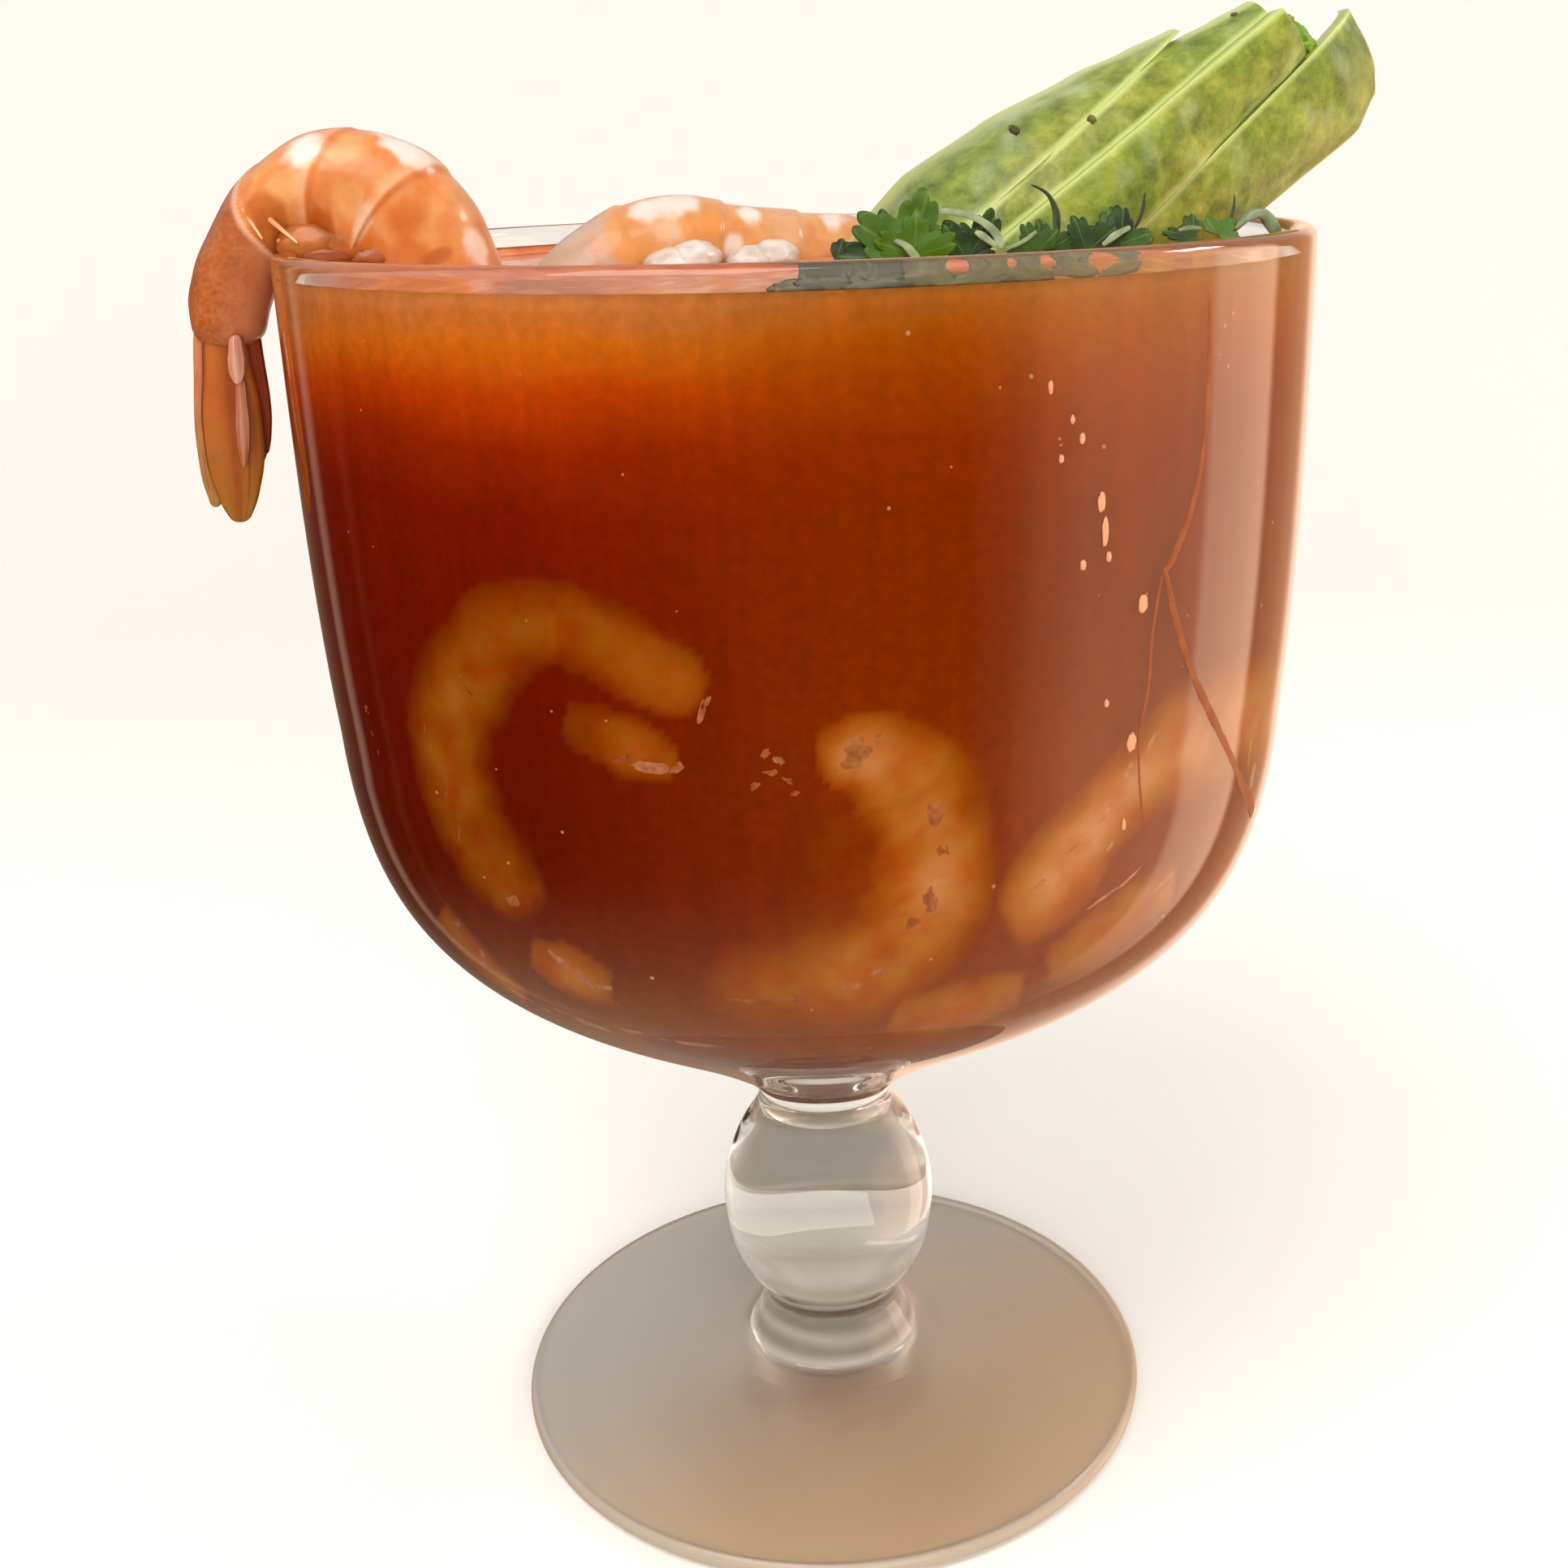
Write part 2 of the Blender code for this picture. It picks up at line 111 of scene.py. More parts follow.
def addNode(tree, kind, settings=None, inputs=None):
    node = tree.nodes.new("ShaderNode" + kind)
    for name, value in (settings or {}).items():
        if name == "stops":  # positions and colours of a colour ramp
            elements = node.color_ramp.elements
            while len(elements) < len(value):
                elements.new(1.0)
            for element, (position, colour) in zip(elements, value):
                element.position = position
                element.color = (*(srgb(colour) if isinstance(colour, str) else (colour,) * 3), 1.0)
        else:
            setattr(node, name, value)
    for name, value in (inputs or {}).items():
        if isinstance(value, bpy.types.NodeSocket):
            tree.links.new(value, node.inputs[name])
        elif isinstance(value, str):
            node.inputs[name].default_value = (*srgb(value), 1.0)
        else:
            node.inputs[name].default_value = value
    return node


def noiseAt(tree, place, scale, detail, **more):
    inputs = {"Vector": place, "Scale": scale, "Detail": detail, **more}
    return addNode(tree, "TexNoise", None, inputs).outputs["Fac"]


def ramp(tree, value, *stops):
    return addNode(tree, "ValToRGB", {"stops": stops}, {"Fac": value}).outputs["Color"]


def blend(tree, part, first, second, kind="MIX", **settings):
    settings = {"data_type": "RGBA", "blend_type": kind, **settings}
    return addNode(tree, "Mix", settings, {0: part, 6: first, 7: second}).outputs[2]


def calculate(tree, operation, *values):
    return addNode(tree, "Math", {"operation": operation}, dict(enumerate(values))).outputs[0]


def stretch(tree, value, low, high, toLow=0.0, toHigh=1.0, kind="LINEAR"):
    inputs = {"Value": value, "From Min": low, "From Max": high, "To Min": toLow, "To Max": toHigh}
    return addNode(tree, "MapRange", {"interpolation_type": kind}, inputs).outputs["Result"]


def soften(tree, value, low, high, toLow=0.0, toHigh=1.0):
    return stretch(tree, value, low, high, toLow, toHigh, "SMOOTHSTEP")


def objectPlace(tree):
    return addNode(tree, "TexCoord").outputs["Object"]


def painted(tree, layerName="pigment"):
    return addNode(tree, "Attribute", {"attribute_name": layerName})


def finishShader(tree, shader, colour, height=None, strength=0.0, distance=0.0):
    tree.links.new(colour, shader.inputs["Base Color"])
    if height is not None:
        bump = addNode(tree, "Bump", None, {"Strength": strength, "Distance": distance, "Height": height})
        tree.links.new(bump.outputs["Normal"], shader.inputs["Normal"])


def newMesh():
    bm = bmesh.new()
    return bm, bm.verts.layers.float_color.new("pigment")


def newMaterial(name, **values):
    material = bpy.data.materials.new(name)
    material.use_nodes = True
    tree = material.node_tree
    shader = tree.nodes["Principled BSDF"]
    for label, value in values.items():
        shader.inputs[label.replace("_", " ")].default_value = value
    return material, tree, shader


def addPiece(name, bm, materials, replaced=(), sharpAngle=None):
    bmesh.ops.remove_doubles(bm, verts=bm.verts, dist=0.002)
    bmesh.ops.recalc_face_normals(bm, faces=bm.faces)
    bmesh.ops.scale(bm, vec=(mm, mm, mm), verts=bm.verts)
    mesh = bpy.data.meshes.new(name)
    bm.to_mesh(mesh)
    bm.free()
    mesh.shade_smooth()
    if sharpAngle:
        mesh.set_sharp_from_angle(angle=math.radians(sharpAngle))
    for material in materials:
        mesh.materials.append(material)
    piece = bpy.data.objects.new(name, mesh)
    bpy.context.scene.collection.objects.link(piece)
    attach(piece, "root")
    if replaced:
        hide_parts(*replaced)
    return piece


def spinOutline(points, steps):
    bm = bmesh.new()
    corners = [bm.verts.new((radius, 0.0, height)) for radius, height in points]
    edges = [bm.edges.new(pair) for pair in zip(corners, corners[1:])]
    bmesh.ops.spin(bm, geom=corners + edges, cent=(0, 0, 0), axis=(0, 0, 1), angle=2 * math.pi,
                   steps=steps, use_merge=True)
    return bm


# the goblet: pressed and fire-polished soda-lime glass
goblet = {
    "wall": 2.6,
    "shoulder": (56.1, 100.0),      # radius and height where the round bowl turns upright
    "sideEase": 3.2,
    "bowlRoot": (12.2, 48.5),
    "sideHandle": (1.3, 31.6),
    "rootHandle": (28.1, 21.4),
    "floorRadius": 24.0,
    "floorHeight": 51.8,
    "footRadius": 42.1,
    "footEdge": 2.4,
    "footCrown": 7.2,
    "footEase": 1.6,
    "collarRadius": 11.6,
    "stem": ((11.3, 7.7), (10.0, 10.2), (8.9, 12.6), (9.7, 15.2), (11.9, 18.2), (13.4, 22.3),
             (14.0, 27.0), (13.9, 30.5), (13.0, 34.3), (11.5, 38.0), (9.5, 41.2), (8.7, 43.6),
             (9.3, 45.6)),
    "around": 192,
    "bowlSteps": 40,
    "sideSteps": 14,
    "edgeSteps": 12,
    "crownSteps": 20,
    "stemSteps": 60,
    "dishSteps": 14,
    "ior": 1.5,
    "roughness": 0.01,
    "tint": "#F6F6F3",
    "footPaintedFloorTone": "#FFEBD2",  # painted reflection: the warm tone of the floor seen through the wide foot, painted into its colour
    "footPaintedFarTone": "#F4F0EA",   # greyer towards its back and left, part of the same painted floor tone
    "footTop": 9.0,
    "edgePaintedLight": "#CDBBA2",  # painted light: a pale tone on the edge of the foot, standing in for the light that glass carries round its edge
    # how far the edge gives up its clearness to show that painted light
    "edgePaintedLightPart": 0.55,
    "footRoughness": 0.28,
    # how the stem dims what is behind it, by height: dull arcs where its lower third bends light most
    "stemTones": ((7.0, "#A89E92"), (10.5, "#8E8478"), (11.6, "#C4BCB2"), (12.6, "#857B70"),
                  (14.2, "#A79E94"), (15.2, "#8C8378"), (16.6, "#B4ACA2"), (18.0, "#958C82"),
                  (19.6, "#C6C0B8"), (21.0, "#B0A89E"), (23.0, "#E2DFDA"), (30.0, "#EFEDE9"),
                  (38.0, "#FFFFFF")),
    "stemWaver": 2.6,
}


def bezier(start, handleA, handleB, end, part):
    rest = 1.0 - part
    weights = (rest ** 3, 3 * rest ** 2 * part, 3 * rest * part ** 2, part ** 3)
    return tuple(sum(w * c[axis] for w, c in zip(weights, (start, handleA, handleB, end)))
                 for axis in (0, 1))


def bowlSide():
    start, end = goblet["bowlRoot"], goblet["shoulder"]
    handleA = (start[0] + goblet["rootHandle"][0], start[1] + goblet["rootHandle"][1])
    handleB = (end[0] - goblet["sideHandle"][0], end[1] - goblet["sideHandle"][1])
    steps = goblet["bowlSteps"]
    points = [bezier(start, handleA, handleB, end, step / steps) for step in range(steps)]
    top = rimHeight - goblet["wall"] / 2
    for step in range(goblet["sideSteps"] + 1):
        part = step / goblet["sideSteps"]
        spread = 1.0 - (1.0 - part) ** goblet["sideEase"]
        points.append((end[0] + (rimRadius - end[0]) * spread, end[1] + (top - end[1]) * part))
    return points


def innerSide(inset):
    points = bowlSide()
    moved = []
    for index, (radius, height) in enumerate(points):
        ahead = points[min(index + 1, len(points) - 1)]
        behind = points[max(index - 1, 0)]
        run = Vector((ahead[0] - behind[0], ahead[1] - behind[1])).normalized()
        moved.append((radius - run.y * inset, height + run.x * inset))
    wall = [point for point in moved if point[0] > goblet["floorRadius"]]
    edgeRadius, edgeHeight = wall[0]
    floor = goblet["floorHeight"] + inset - goblet["wall"]
    steps = goblet["dishSteps"]
    dish = [(edgeRadius * step / steps, floor + (edgeHeight - floor) * (step / steps) ** 2)
            for step in range(steps)]
    return dish + wall


def gobletOutline():
    # up the outside from the middle of the foot, over the lip and down the inside
    edge = goblet["footEdge"] / 2
    crownFoot = goblet["footRadius"] - edge
    edgeSteps, crownSteps, stemSteps = goblet["edgeSteps"], goblet["crownSteps"], goblet["stemSteps"]
    points = [(0.0, 0.0)]
    for step in range(edgeSteps + 1):
        angle = math.radians(-90 + 180 * step / edgeSteps)
        points.append((crownFoot + edge * math.cos(angle), edge + edge * math.sin(angle)))
    for step in range(1, crownSteps + 1):
        part = step / crownSteps
        rise = (goblet["footCrown"] - goblet["footEdge"]) * part ** goblet["footEase"]
        points.append((crownFoot + (goblet["collarRadius"] + edge - goblet["footRadius"]) * part,
                       goblet["footEdge"] + rise))
    points += [tuple(alongStations(goblet["stem"], step / stemSteps)) for step in range(stemSteps + 1)]
    points += bowlSide()
    halfWall = goblet["wall"] / 2
    for step in range(1, edgeSteps):
        angle = math.pi * step / edgeSteps
        points.append((rimRadius - halfWall + halfWall * math.cos(angle),
                       rimHeight - halfWall + halfWall * math.sin(angle)))
    return points + innerSide(goblet["wall"])[::-1]


def makeGoblet():
    material, tree, shader = newMaterial(
        "clear soda-lime glass, fire polished", Roughness=goblet["roughness"], IOR=goblet["ior"],
        Transmission_Weight=1.0)
    place = objectPlace(tree)
    height = addNode(tree, "SeparateXYZ", None, {0: place}).outputs["Z"]
    footTop = goblet["footTop"] * mm
    raised = soften(tree, height, goblet["footCrown"] * mm, footTop)
    waver = noiseAt(tree, place, 70.0, 1.0)
    shifted = calculate(tree, "MULTIPLY_ADD", waver, goblet["stemWaver"] * mm, height)
    top = goblet["stemTones"][-1][0]
    level = stretch(tree, shifted, 0.0, top * mm)
    stem = ramp(tree, level, *[(z / top, tone) for z, tone in goblet["stemTones"]])
    clearTone = blend(tree, 1.0, stem, goblet["tint"], "MULTIPLY")
    across = addNode(tree, "VectorMath", {"operation": "DOT_PRODUCT"}, {0: place, 1: (-0.6, 0.8, 0.0)})
    far = soften(tree, across.outputs["Value"], -0.03, 0.025)
    # the foot's colour is the painted tone of the floor seen through it, greyer towards the back and left
    foot = blend(tree, far, goblet["footPaintedFloorTone"], goblet["footPaintedFarTone"])
    tone = blend(tree, raised, foot, clearTone)
    flat = addNode(tree, "VectorMath", {"operation": "MULTIPLY"}, {0: place, 1: (1.0, 1.0, 0.0)})
    radius = addNode(tree, "VectorMath", {"operation": "LENGTH"}, {0: flat.outputs[0]})
    # the edge of the foot turns less clear and takes the pale painted light tone
    wide = soften(tree, radius.outputs["Value"], (goblet["footRadius"] - 0.9) * mm,
                  (goblet["footRadius"] - 0.2) * mm)
    under = calculate(tree, "LESS_THAN", height, footTop)
    edgeLightMask = calculate(tree, "MULTIPLY", wide, under)
    clear = calculate(tree, "MULTIPLY_ADD", edgeLightMask, -goblet["edgePaintedLightPart"], 1.0)
    dull = soften(tree, height, (goblet["footTop"] - 3.0) * mm, footTop,
                  goblet["footRoughness"], goblet["roughness"])
    finishShader(tree, shader, blend(tree, edgeLightMask, tone, goblet["edgePaintedLight"]))
    tree.links.new(dull, shader.inputs["Roughness"])
    tree.links.new(clear, shader.inputs["Transmission Weight"])
    addPiece("gobletGlass", spinOutline(gobletOutline(), goblet["around"]), [material],
             ["goblet"])


# cooked shrimp: white flesh with an orange-pink outer layer, moist
shrimpLook = {
    "white": "#DACCC0",
    "pale": "#CE9458",
    "orange": "#C46E2A",
    "deep": "#A85204",
    "shell": "#A65C2C",
    "shellRed": "#944814",
    "roughness": 0.34,
    "glow": 0.2,  # how much light passes through the flesh
}


def shrimpMaterial():
    material, tree, shader = newMaterial(
        "cooked shrimp flesh", Roughness=shrimpLook["roughness"], IOR=1.4, Coat_Weight=0.25,
        Coat_Roughness=0.12, Subsurface_Weight=shrimpLook["glow"], Subsurface_Radius=(1.0, 0.45, 0.25),
        Subsurface_Scale=0.0016)
    pigment = painted(tree).outputs["Color"]
    place = objectPlace(tree)
    fibre = noiseAt(tree, place, 700.0, 4.0, Roughness=0.6)
    tone = ramp(tree, noiseAt(tree, place, 260.0, 3.0), (0.3, "#E3C9B4"), (0.62, "#FFFFFF"))
    finishShader(tree, shader, blend(tree, 0.55, pigment, tone, "MULTIPLY"), fibre, 0.22, 0.0004)
    return material


def roundedEnd(position, cap):
    depth = min(position, 1.0 - position) / cap
    return 1.0 if depth >= 1.0 else math.sqrt(max(0.0, 1.0 - (1.0 - depth) ** 2))


def heading(stations, position):
    # which way a path runs at a position from 0 to 1 along it
    reach = 0.01
    return (Vector(alongStations(stations, position + reach)[:3])
            - Vector(alongStations(stations, position - reach)[:3]))


def addTube(bm, stations, side, sides, rings, cap, relief, colourAt, layer):
    # closed tube through (x, y, z, half depth, half width); side runs along its width
    for vert in bmesh.ops.create_grid(bm, x_segments=sides, y_segments=rings, size=0.5)["verts"]:
        around = vert.co.x + 0.5
        position = vert.co.y + 0.5
        here = alongStations(stations, position)
        across = side(position) if callable(side) else side
        depth = across.cross(heading(stations, position).normalized()).normalized()
        size = roundedEnd(position, cap)
        angle = 2 * math.pi * around
        out = depth * (here[3] * math.cos(angle)) + across * (here[4] * math.sin(angle))
        vert.co = Vector(here[:3]) + out * size * relief(around, position)
        vert[layer] = (*colourAt(around, position, vert.co), 1.0)


def plateRelief(count, height):
    # overlapping plates: each swells and then drops to the next
    def relief(around, position):
        place = position * count + 0.12 * math.sin(2 * math.pi * around)
        phase = place % 1.0
        rise = smooth(0.0, 0.9, phase) - smooth(0.93, 1.0, phase)
        return 1.0 + height * (rise - 0.5)
    return relief


def spotted(base, spots, around, position):
    # spots are (position, around, reach along, reach around, colour, strength)
    colour = base
    for spotPosition, spotAround, reachAlong, reachAround, shade, strength in spots:
        turn = abs((around - spotAround + 0.5) % 1.0 - 0.5)
        distance = math.hypot((position - spotPosition) / reachAlong, turn / reachAround)
        if distance < 1.6:
            wobble = noise.noise(Vector((position * 26, around * 11, spotPosition * 9)))
            wobble += 0.5 * noise.noise(Vector((position * 70, around * 30, spotPosition * 5)))
            cover = strength * (1 - smooth(0.55, 1.15, distance + 0.4 * wobble))
            colour = mixed(colour, srgb(shrimpLook.get(shade, shade)), cover)
    return colour


def addLump(bm, layer, place, frame, sizes, colour, seed, ragged=0.25):
    # a small uneven lump; frame holds the directions of its length, width and thickness
    for vert in bmesh.ops.create_icosphere(bm, subdivisions=4, radius=1.0)["verts"]:
        near = vert.co * 1.6 + Vector((seed * 3.1, seed * 1.7, 0))
        swell = 1.0 + ragged * noise.noise(near) + 0.5 * ragged * noise.noise(near * 2.7)
        grain = 0.5 + 0.9 * noise.noise(near * 1.9)
        parts = [axis * size * value * swell for axis, size, value in zip(frame, sizes, vert.co)]
        vert.co = Vector(place) + parts[0] + parts[1] + parts[2]
        vert[layer] = (*mixed([0.72 * value for value in colour], colour, grain), 1.0)


# shrimp hooked over the rim, tail hanging outside
rimShrimp = {
    "azimuth": 181.0,
    "body": ((65.4, 141.7, 2.6, 2.8), (65.1, 143.7, 4.1, 4.0), (64.2, 147.2, 4.7, 4.7),
             (62.3, 151.7, 4.4, 5.2), (59.2, 156.3, 4.2, 5.7), (53.6, 158.6, 5.8, 6.1),
             (48.0, 158.1, 6.9, 6.4), (43.9, 155.9, 7.0, 6.6), (40.5, 151.7, 6.6, 6.6),
             (39.0, 146.5, 6.0, 6.4), (40.0, 141.0, 5.5, 5.9), (42.8, 136.4, 4.4, 4.8)),
    "plateEnds": (0.347, 0.47, 0.605, 0.80),
    "plateSlant": 0.10,
    "plateStep": 0.036,
    # where the fuller belly starts, is full, wanes, ends; how much
    "belly": (0.44, 0.56, 0.80, 0.95, 0.45),
    "spots": ((0.465, 0.62, 0.032, 0.07, "white", 0.95), (0.425, 0.73, 0.035, 0.05, "pale", 0.8),
              (0.385, 0.80, 0.035, 0.10, "deep", 0.75), (0.39, 0.93, 0.05, 0.08, "deep", 0.9),
              (0.52, 0.65, 0.030, 0.05, "#D29E68", 0.7), (0.54, 0.76, 0.030, 0.05, "#CC9258", 0.75),
              (0.485, 0.88, 0.045, 0.11, "deep", 0.95), (0.585, 0.81, 0.022, 0.06, "#C8A688", 0.75),
              (0.60, 0.57, 0.038, 0.06, "white", 1.0), (0.575, 0.52, 0.035, 0.05, "white", 0.8),
              (0.625, 0.86, 0.022, 0.06, "#BE6E14", 0.85), (0.66, 0.73, 0.035, 0.07, "#BE661E", 0.8),
              (0.715, 0.80, 0.035, 0.07, "#BA6016", 0.7), (0.685, 0.56, 0.05, 0.06, "#CE8E54", 0.7),
              (0.75, 0.61, 0.030, 0.05, "#DCC2AE", 0.8), (0.74, 0.73, 0.014, 0.05, "deep", 0.7)),
    # tail: root, tip, half width, half thickness, turn, colour at the root, at the tip and on the ridge
    "blades": (((64.9, -1.7, 145.4), (66.0, -1.8, 121.9), 3.5, 0.9, -6.0, "#A8561C", "#8E5A12",
                "#8A3E04"),
               ((67.2, -0.6, 145.6), (68.9, -0.8, 123.6), 2.1, 0.8, 10.0, "#B06E48", "#8E6A2A",
                "#A05A28"),
               ((63.2, -3.7, 143.4), (63.6, -3.9, 138.0), 1.1, 0.8, 0.0, "#B4785A", "#B48068", "#C89880"),
               ((63.3, -3.4, 138.8), (64.2, -3.6, 128.6), 0.85, 0.5, 0.0, "#A06448", "#94562E",
                "#AC7458"),
               ((62.6, 0.2, 145.2), (62.7, 0.2, 129.4), 1.5, 0.8, 8.0, "#8A3412", "#7A2806", "#9C4018"),
               ((64.0, 1.2, 144.8), (64.2, 1.2, 127.6), 2.3, 0.7, -10.0, "#8E4418", "#7A3A0C",
                "#8E4A1A")),
    "bladeShape": ((0.0, 0.70), (0.26, 0.84), (0.50, 1.0), (0.70, 0.95), (0.86, 0.72), (0.96, 0.42),
                   (1.0, 0.22)),
    # fine legs folded under the body: root and tip
    "legs": (((57.6, -5.2, 155.8), (54.6, -5.8, 153.1)), ((60.4, -5.0, 157.0), (58.4, -5.6, 153.6)),
             ((57.1, -4.0, 153.6), (56.2, -3.6, 151.4))),
    # folds of flesh in the hollow of the curl, their dark brown-orange partly flesh colour, partly
    # painted shade under the arch: place, half sizes and colour
    "folds": (((53.6, -2.6, 153.0), (4.4, 3.0, 2.6), "#B4682C"),
              ((49.4, -2.4, 152.6), (4.6, 3.4, 3.0), "#AE5E22"),
              ((51.6, -4.4, 151.6), (3.4, 1.7, 1.3), "#9A4A18"),
              ((46.8, -4.2, 151.4), (3.0, 1.9, 1.5), "#A8581E")),
}


def rimPlateEdge(index, around):
    # plates run slantwise, further out at the belly
    fromBack = abs(around - 0.5) * 2
    return rimShrimp["plateEnds"][index] - rimShrimp["plateSlant"] * (fromBack - 0.44)


def makeRimShrimp(material):
    angle = math.radians(rimShrimp["azimuth"])
    out = Vector((math.cos(angle), math.sin(angle), 0.0))
    side = out.cross(up)

    def toWorld(radial, sideways, height):
        return out * radial + side * sideways + up * height

    stations = [(*toWorld(radial, 0.0, height), depth, width)
                for radial, height, depth, width in rimShrimp["body"]]
    step = rimShrimp["plateStep"]
    bellyStart, bellyFull, bellyWane, bellyEnd, fullness = rimShrimp["belly"]

    def relief(around, position):
        fromBack = abs(around - 0.5) * 2
        place = Vector((math.cos(2 * math.pi * around), position * 14, fromBack))
        swell = 1.0 + 0.05 * noise.noise(place)
        for index in range(len(rimShrimp["plateEnds"])):
            edge = rimPlateEdge(index, around)
            rise = smooth(edge - 0.08, edge, position)
            swell += step * (rise - smooth(edge, edge + 0.012, position) - 0.3)
        full = smooth(bellyStart, bellyFull, position) - smooth(bellyWane, bellyEnd, position)
        return swell + fullness * full * smooth(0.5, 1.0, fromBack)

    def colourAt(around, position, place):
        grain = noise.noise(place * 0.35) * 0.5 + noise.noise(place * 1.1) * 0.3
        edge = rimPlateEdge(0, around)
        if position < edge:  # the last plate and the tail keep their shell
            speckle = noise.noise(place * 2.4) + 0.6 * noise.noise(place * 0.6)
            shell = mixed(srgb(shrimpLook["shell"]), srgb(shrimpLook["shellRed"]), 0.45 + speckle)
            pinker = mixed(shell, srgb("#C07C56"), 0.8 * smooth(0.72, 0.92, around))
            return mixed(pinker, srgb("#E0B090"), 0.7 * smooth(edge - 0.018, edge - 0.006, position))
        colour = mixed(srgb(shrimpLook["orange"]), srgb(shrimpLook["pale"]), 0.35 + grain)
        # deeper orange towards the belly, the lower side of the curl: partly the flesh's own colour,
        # partly painted shade
        colour = mixed(colour, srgb(shrimpLook["deep"]), 0.75 * smooth(0.80, 0.95, around))
        colour = spotted(colour, rimShrimp["spots"], around, position)
        for index in range(1, len(rimShrimp["plateEnds"])):
            gone = position - rimPlateEdge(index, around)
            colour = mixed(colour, srgb("#E8C8A8"),
                           0.30 * (smooth(-0.03, -0.004, gone) - smooth(-0.003, 0.0, gone)))
            colour = mixed(colour, srgb("#B4601E"),
                           0.40 * (smooth(0.0, 0.003, gone) - smooth(0.006, 0.016, gone)))
        return colour

    bm, layer = newMesh()
    addTube(bm, stations, side, 110, 300, 0.05, relief, colourAt, layer)
    addPiece("shrimpRim", bm, [material], ["shrimp_rim"])

    bm, layer = newMesh()
    for root, tip, halfWidth, halfThickness, turn, *colours in rimShrimp["blades"]:
        rootColour, tipColour, ridgeColour = map(srgb, colours)
        start, end = toWorld(*root), toWorld(*tip)
        face = Matrix.Rotation(math.radians(turn), 3, (end - start).normalized()) @ out
        blade = [(*start.lerp(end, part), halfThickness * (1 - 0.6 * part), halfWidth * width)
                 for part, width in rimShrimp["bladeShape"]]

        def ribs(around, position):
            acrossBlade = math.sin(2 * math.pi * around)
            ridge = math.exp(-(acrossBlade / 0.16) ** 2)
            return 1.0 + 0.22 * ridge + 0.05 * math.cos(16 * acrossBlade) + 0.06 * noise.noise(
                Vector((acrossBlade * 2, position * 5, halfWidth * 4)))

        def bladeColour(around, position, place):
            acrossBlade = math.sin(2 * math.pi * around)
            drawn = Vector((place.x * 3, place.y * 3, place.z * 0.6))
            grain = noise.noise(place * 0.9) + 0.5 * noise.noise(drawn)
            colour = mixed(rootColour, tipColour, smooth(0.1, 0.8, position) + 0.5 * grain)
            vein = noise.noise(Vector((acrossBlade * 5.0, position * 1.3, halfWidth * 9)))
            colour = mixed(colour, srgb("#5E2404"), 0.55 * smooth(0.12, 0.42, vein))
            ridge = math.exp(-(acrossBlade / 0.28) ** 2)
            colour = mixed(colour, ridgeColour, 0.8 * ridge)
            rim = smooth(0.72, 0.98, abs(acrossBlade))
            return mixed(colour, [0.55 * value for value in colour], 0.7 * rim)

        addTube(bm, blade, face, 48, 80, 0.12, ribs, bladeColour, layer)
    for root, tip in rimShrimp["legs"]:
        start, end = toWorld(*root), toWorld(*tip)
        leg = [(*start.lerp(end, part), 0.35 * (1 - 0.7 * part), 0.35 * (1 - 0.7 * part))
               for part in (0.0, 0.35, 0.7, 1.0)]
        addTube(bm, leg, side, 14, 30, 0.1, lambda around, position: 1.0,
                lambda around, position, place: mixed(srgb("#D08A50"), srgb("#E8C09A"), position), layer)
    # the folds fill the hollow under the arch; their darker colour is partly painted shade
    for seed, (place, sizes, colour) in enumerate(rimShrimp["folds"]):
        addLump(bm, layer, toWorld(*place), (out, side, up), sizes, srgb(colour), seed, 0.10)
    addPiece("shrimpRimTail", bm, [material])


# shrimp arched out of the sauce in the middle
middleShrimp = {
    "start": (-32.6, 12.0),
    "turn": 14.5,
    "body": ((-1.2, 137.5, 3.9, 4.4), (1.6, 141.8, 5.2, 5.8), (6.2, 145.8, 5.8, 6.4),
             (11.8, 149.0, 6.0, 6.7), (17.8, 150.4, 6.1, 6.9), (24.0, 149.7, 6.0, 6.8),
             (30.0, 148.8, 5.8, 6.6), (36.0, 148.3, 5.6, 6.4), (41.4, 147.3, 5.3, 6.0),
             (45.2, 143.5, 4.6, 5.2), (46.2, 138.5, 3.6, 4.0)),
    "spots": ((0.22, 0.09, 0.08, 0.22, "#B89C86", 0.9), (0.315, 0.17, 0.042, 0.12, "#CC8846", 0.95),
              (0.385, 0.19, 0.028, 0.06, "#CFA684", 0.85), (0.36, 0.08, 0.026, 0.07, "white", 0.95),
              (0.405, 0.07, 0.045, 0.08, "white", 1.0), (0.46, 0.17, 0.027, 0.13, "#C8803C", 0.95),
              (0.54, 0.09, 0.026, 0.06, "white", 0.95), (0.50, 0.22, 0.020, 0.05, "#D6C6B8", 0.8),
              (0.615, 0.15, 0.045, 0.11, "#CE9C72", 0.85), (0.72, 0.07, 0.032, 0.07, "white", 0.9),
              (0.79, 0.14, 0.040, 0.12, "#CC9466", 0.85)),
    "plates": 6,
    # folds of white flesh in front of it: place and half sizes
    "folds": (((-14.3, 8.0, 148.7), (3.9, 4.1, 2.2)), ((-12.0, 8.4, 149.4), (3.2, 4.0, 2.2)),
              ((-4.9, 9.0, 148.7), (3.6, 4.8, 2.1)), ((-2.6, 9.4, 149.4), (2.9, 4.8, 2.0))),
}


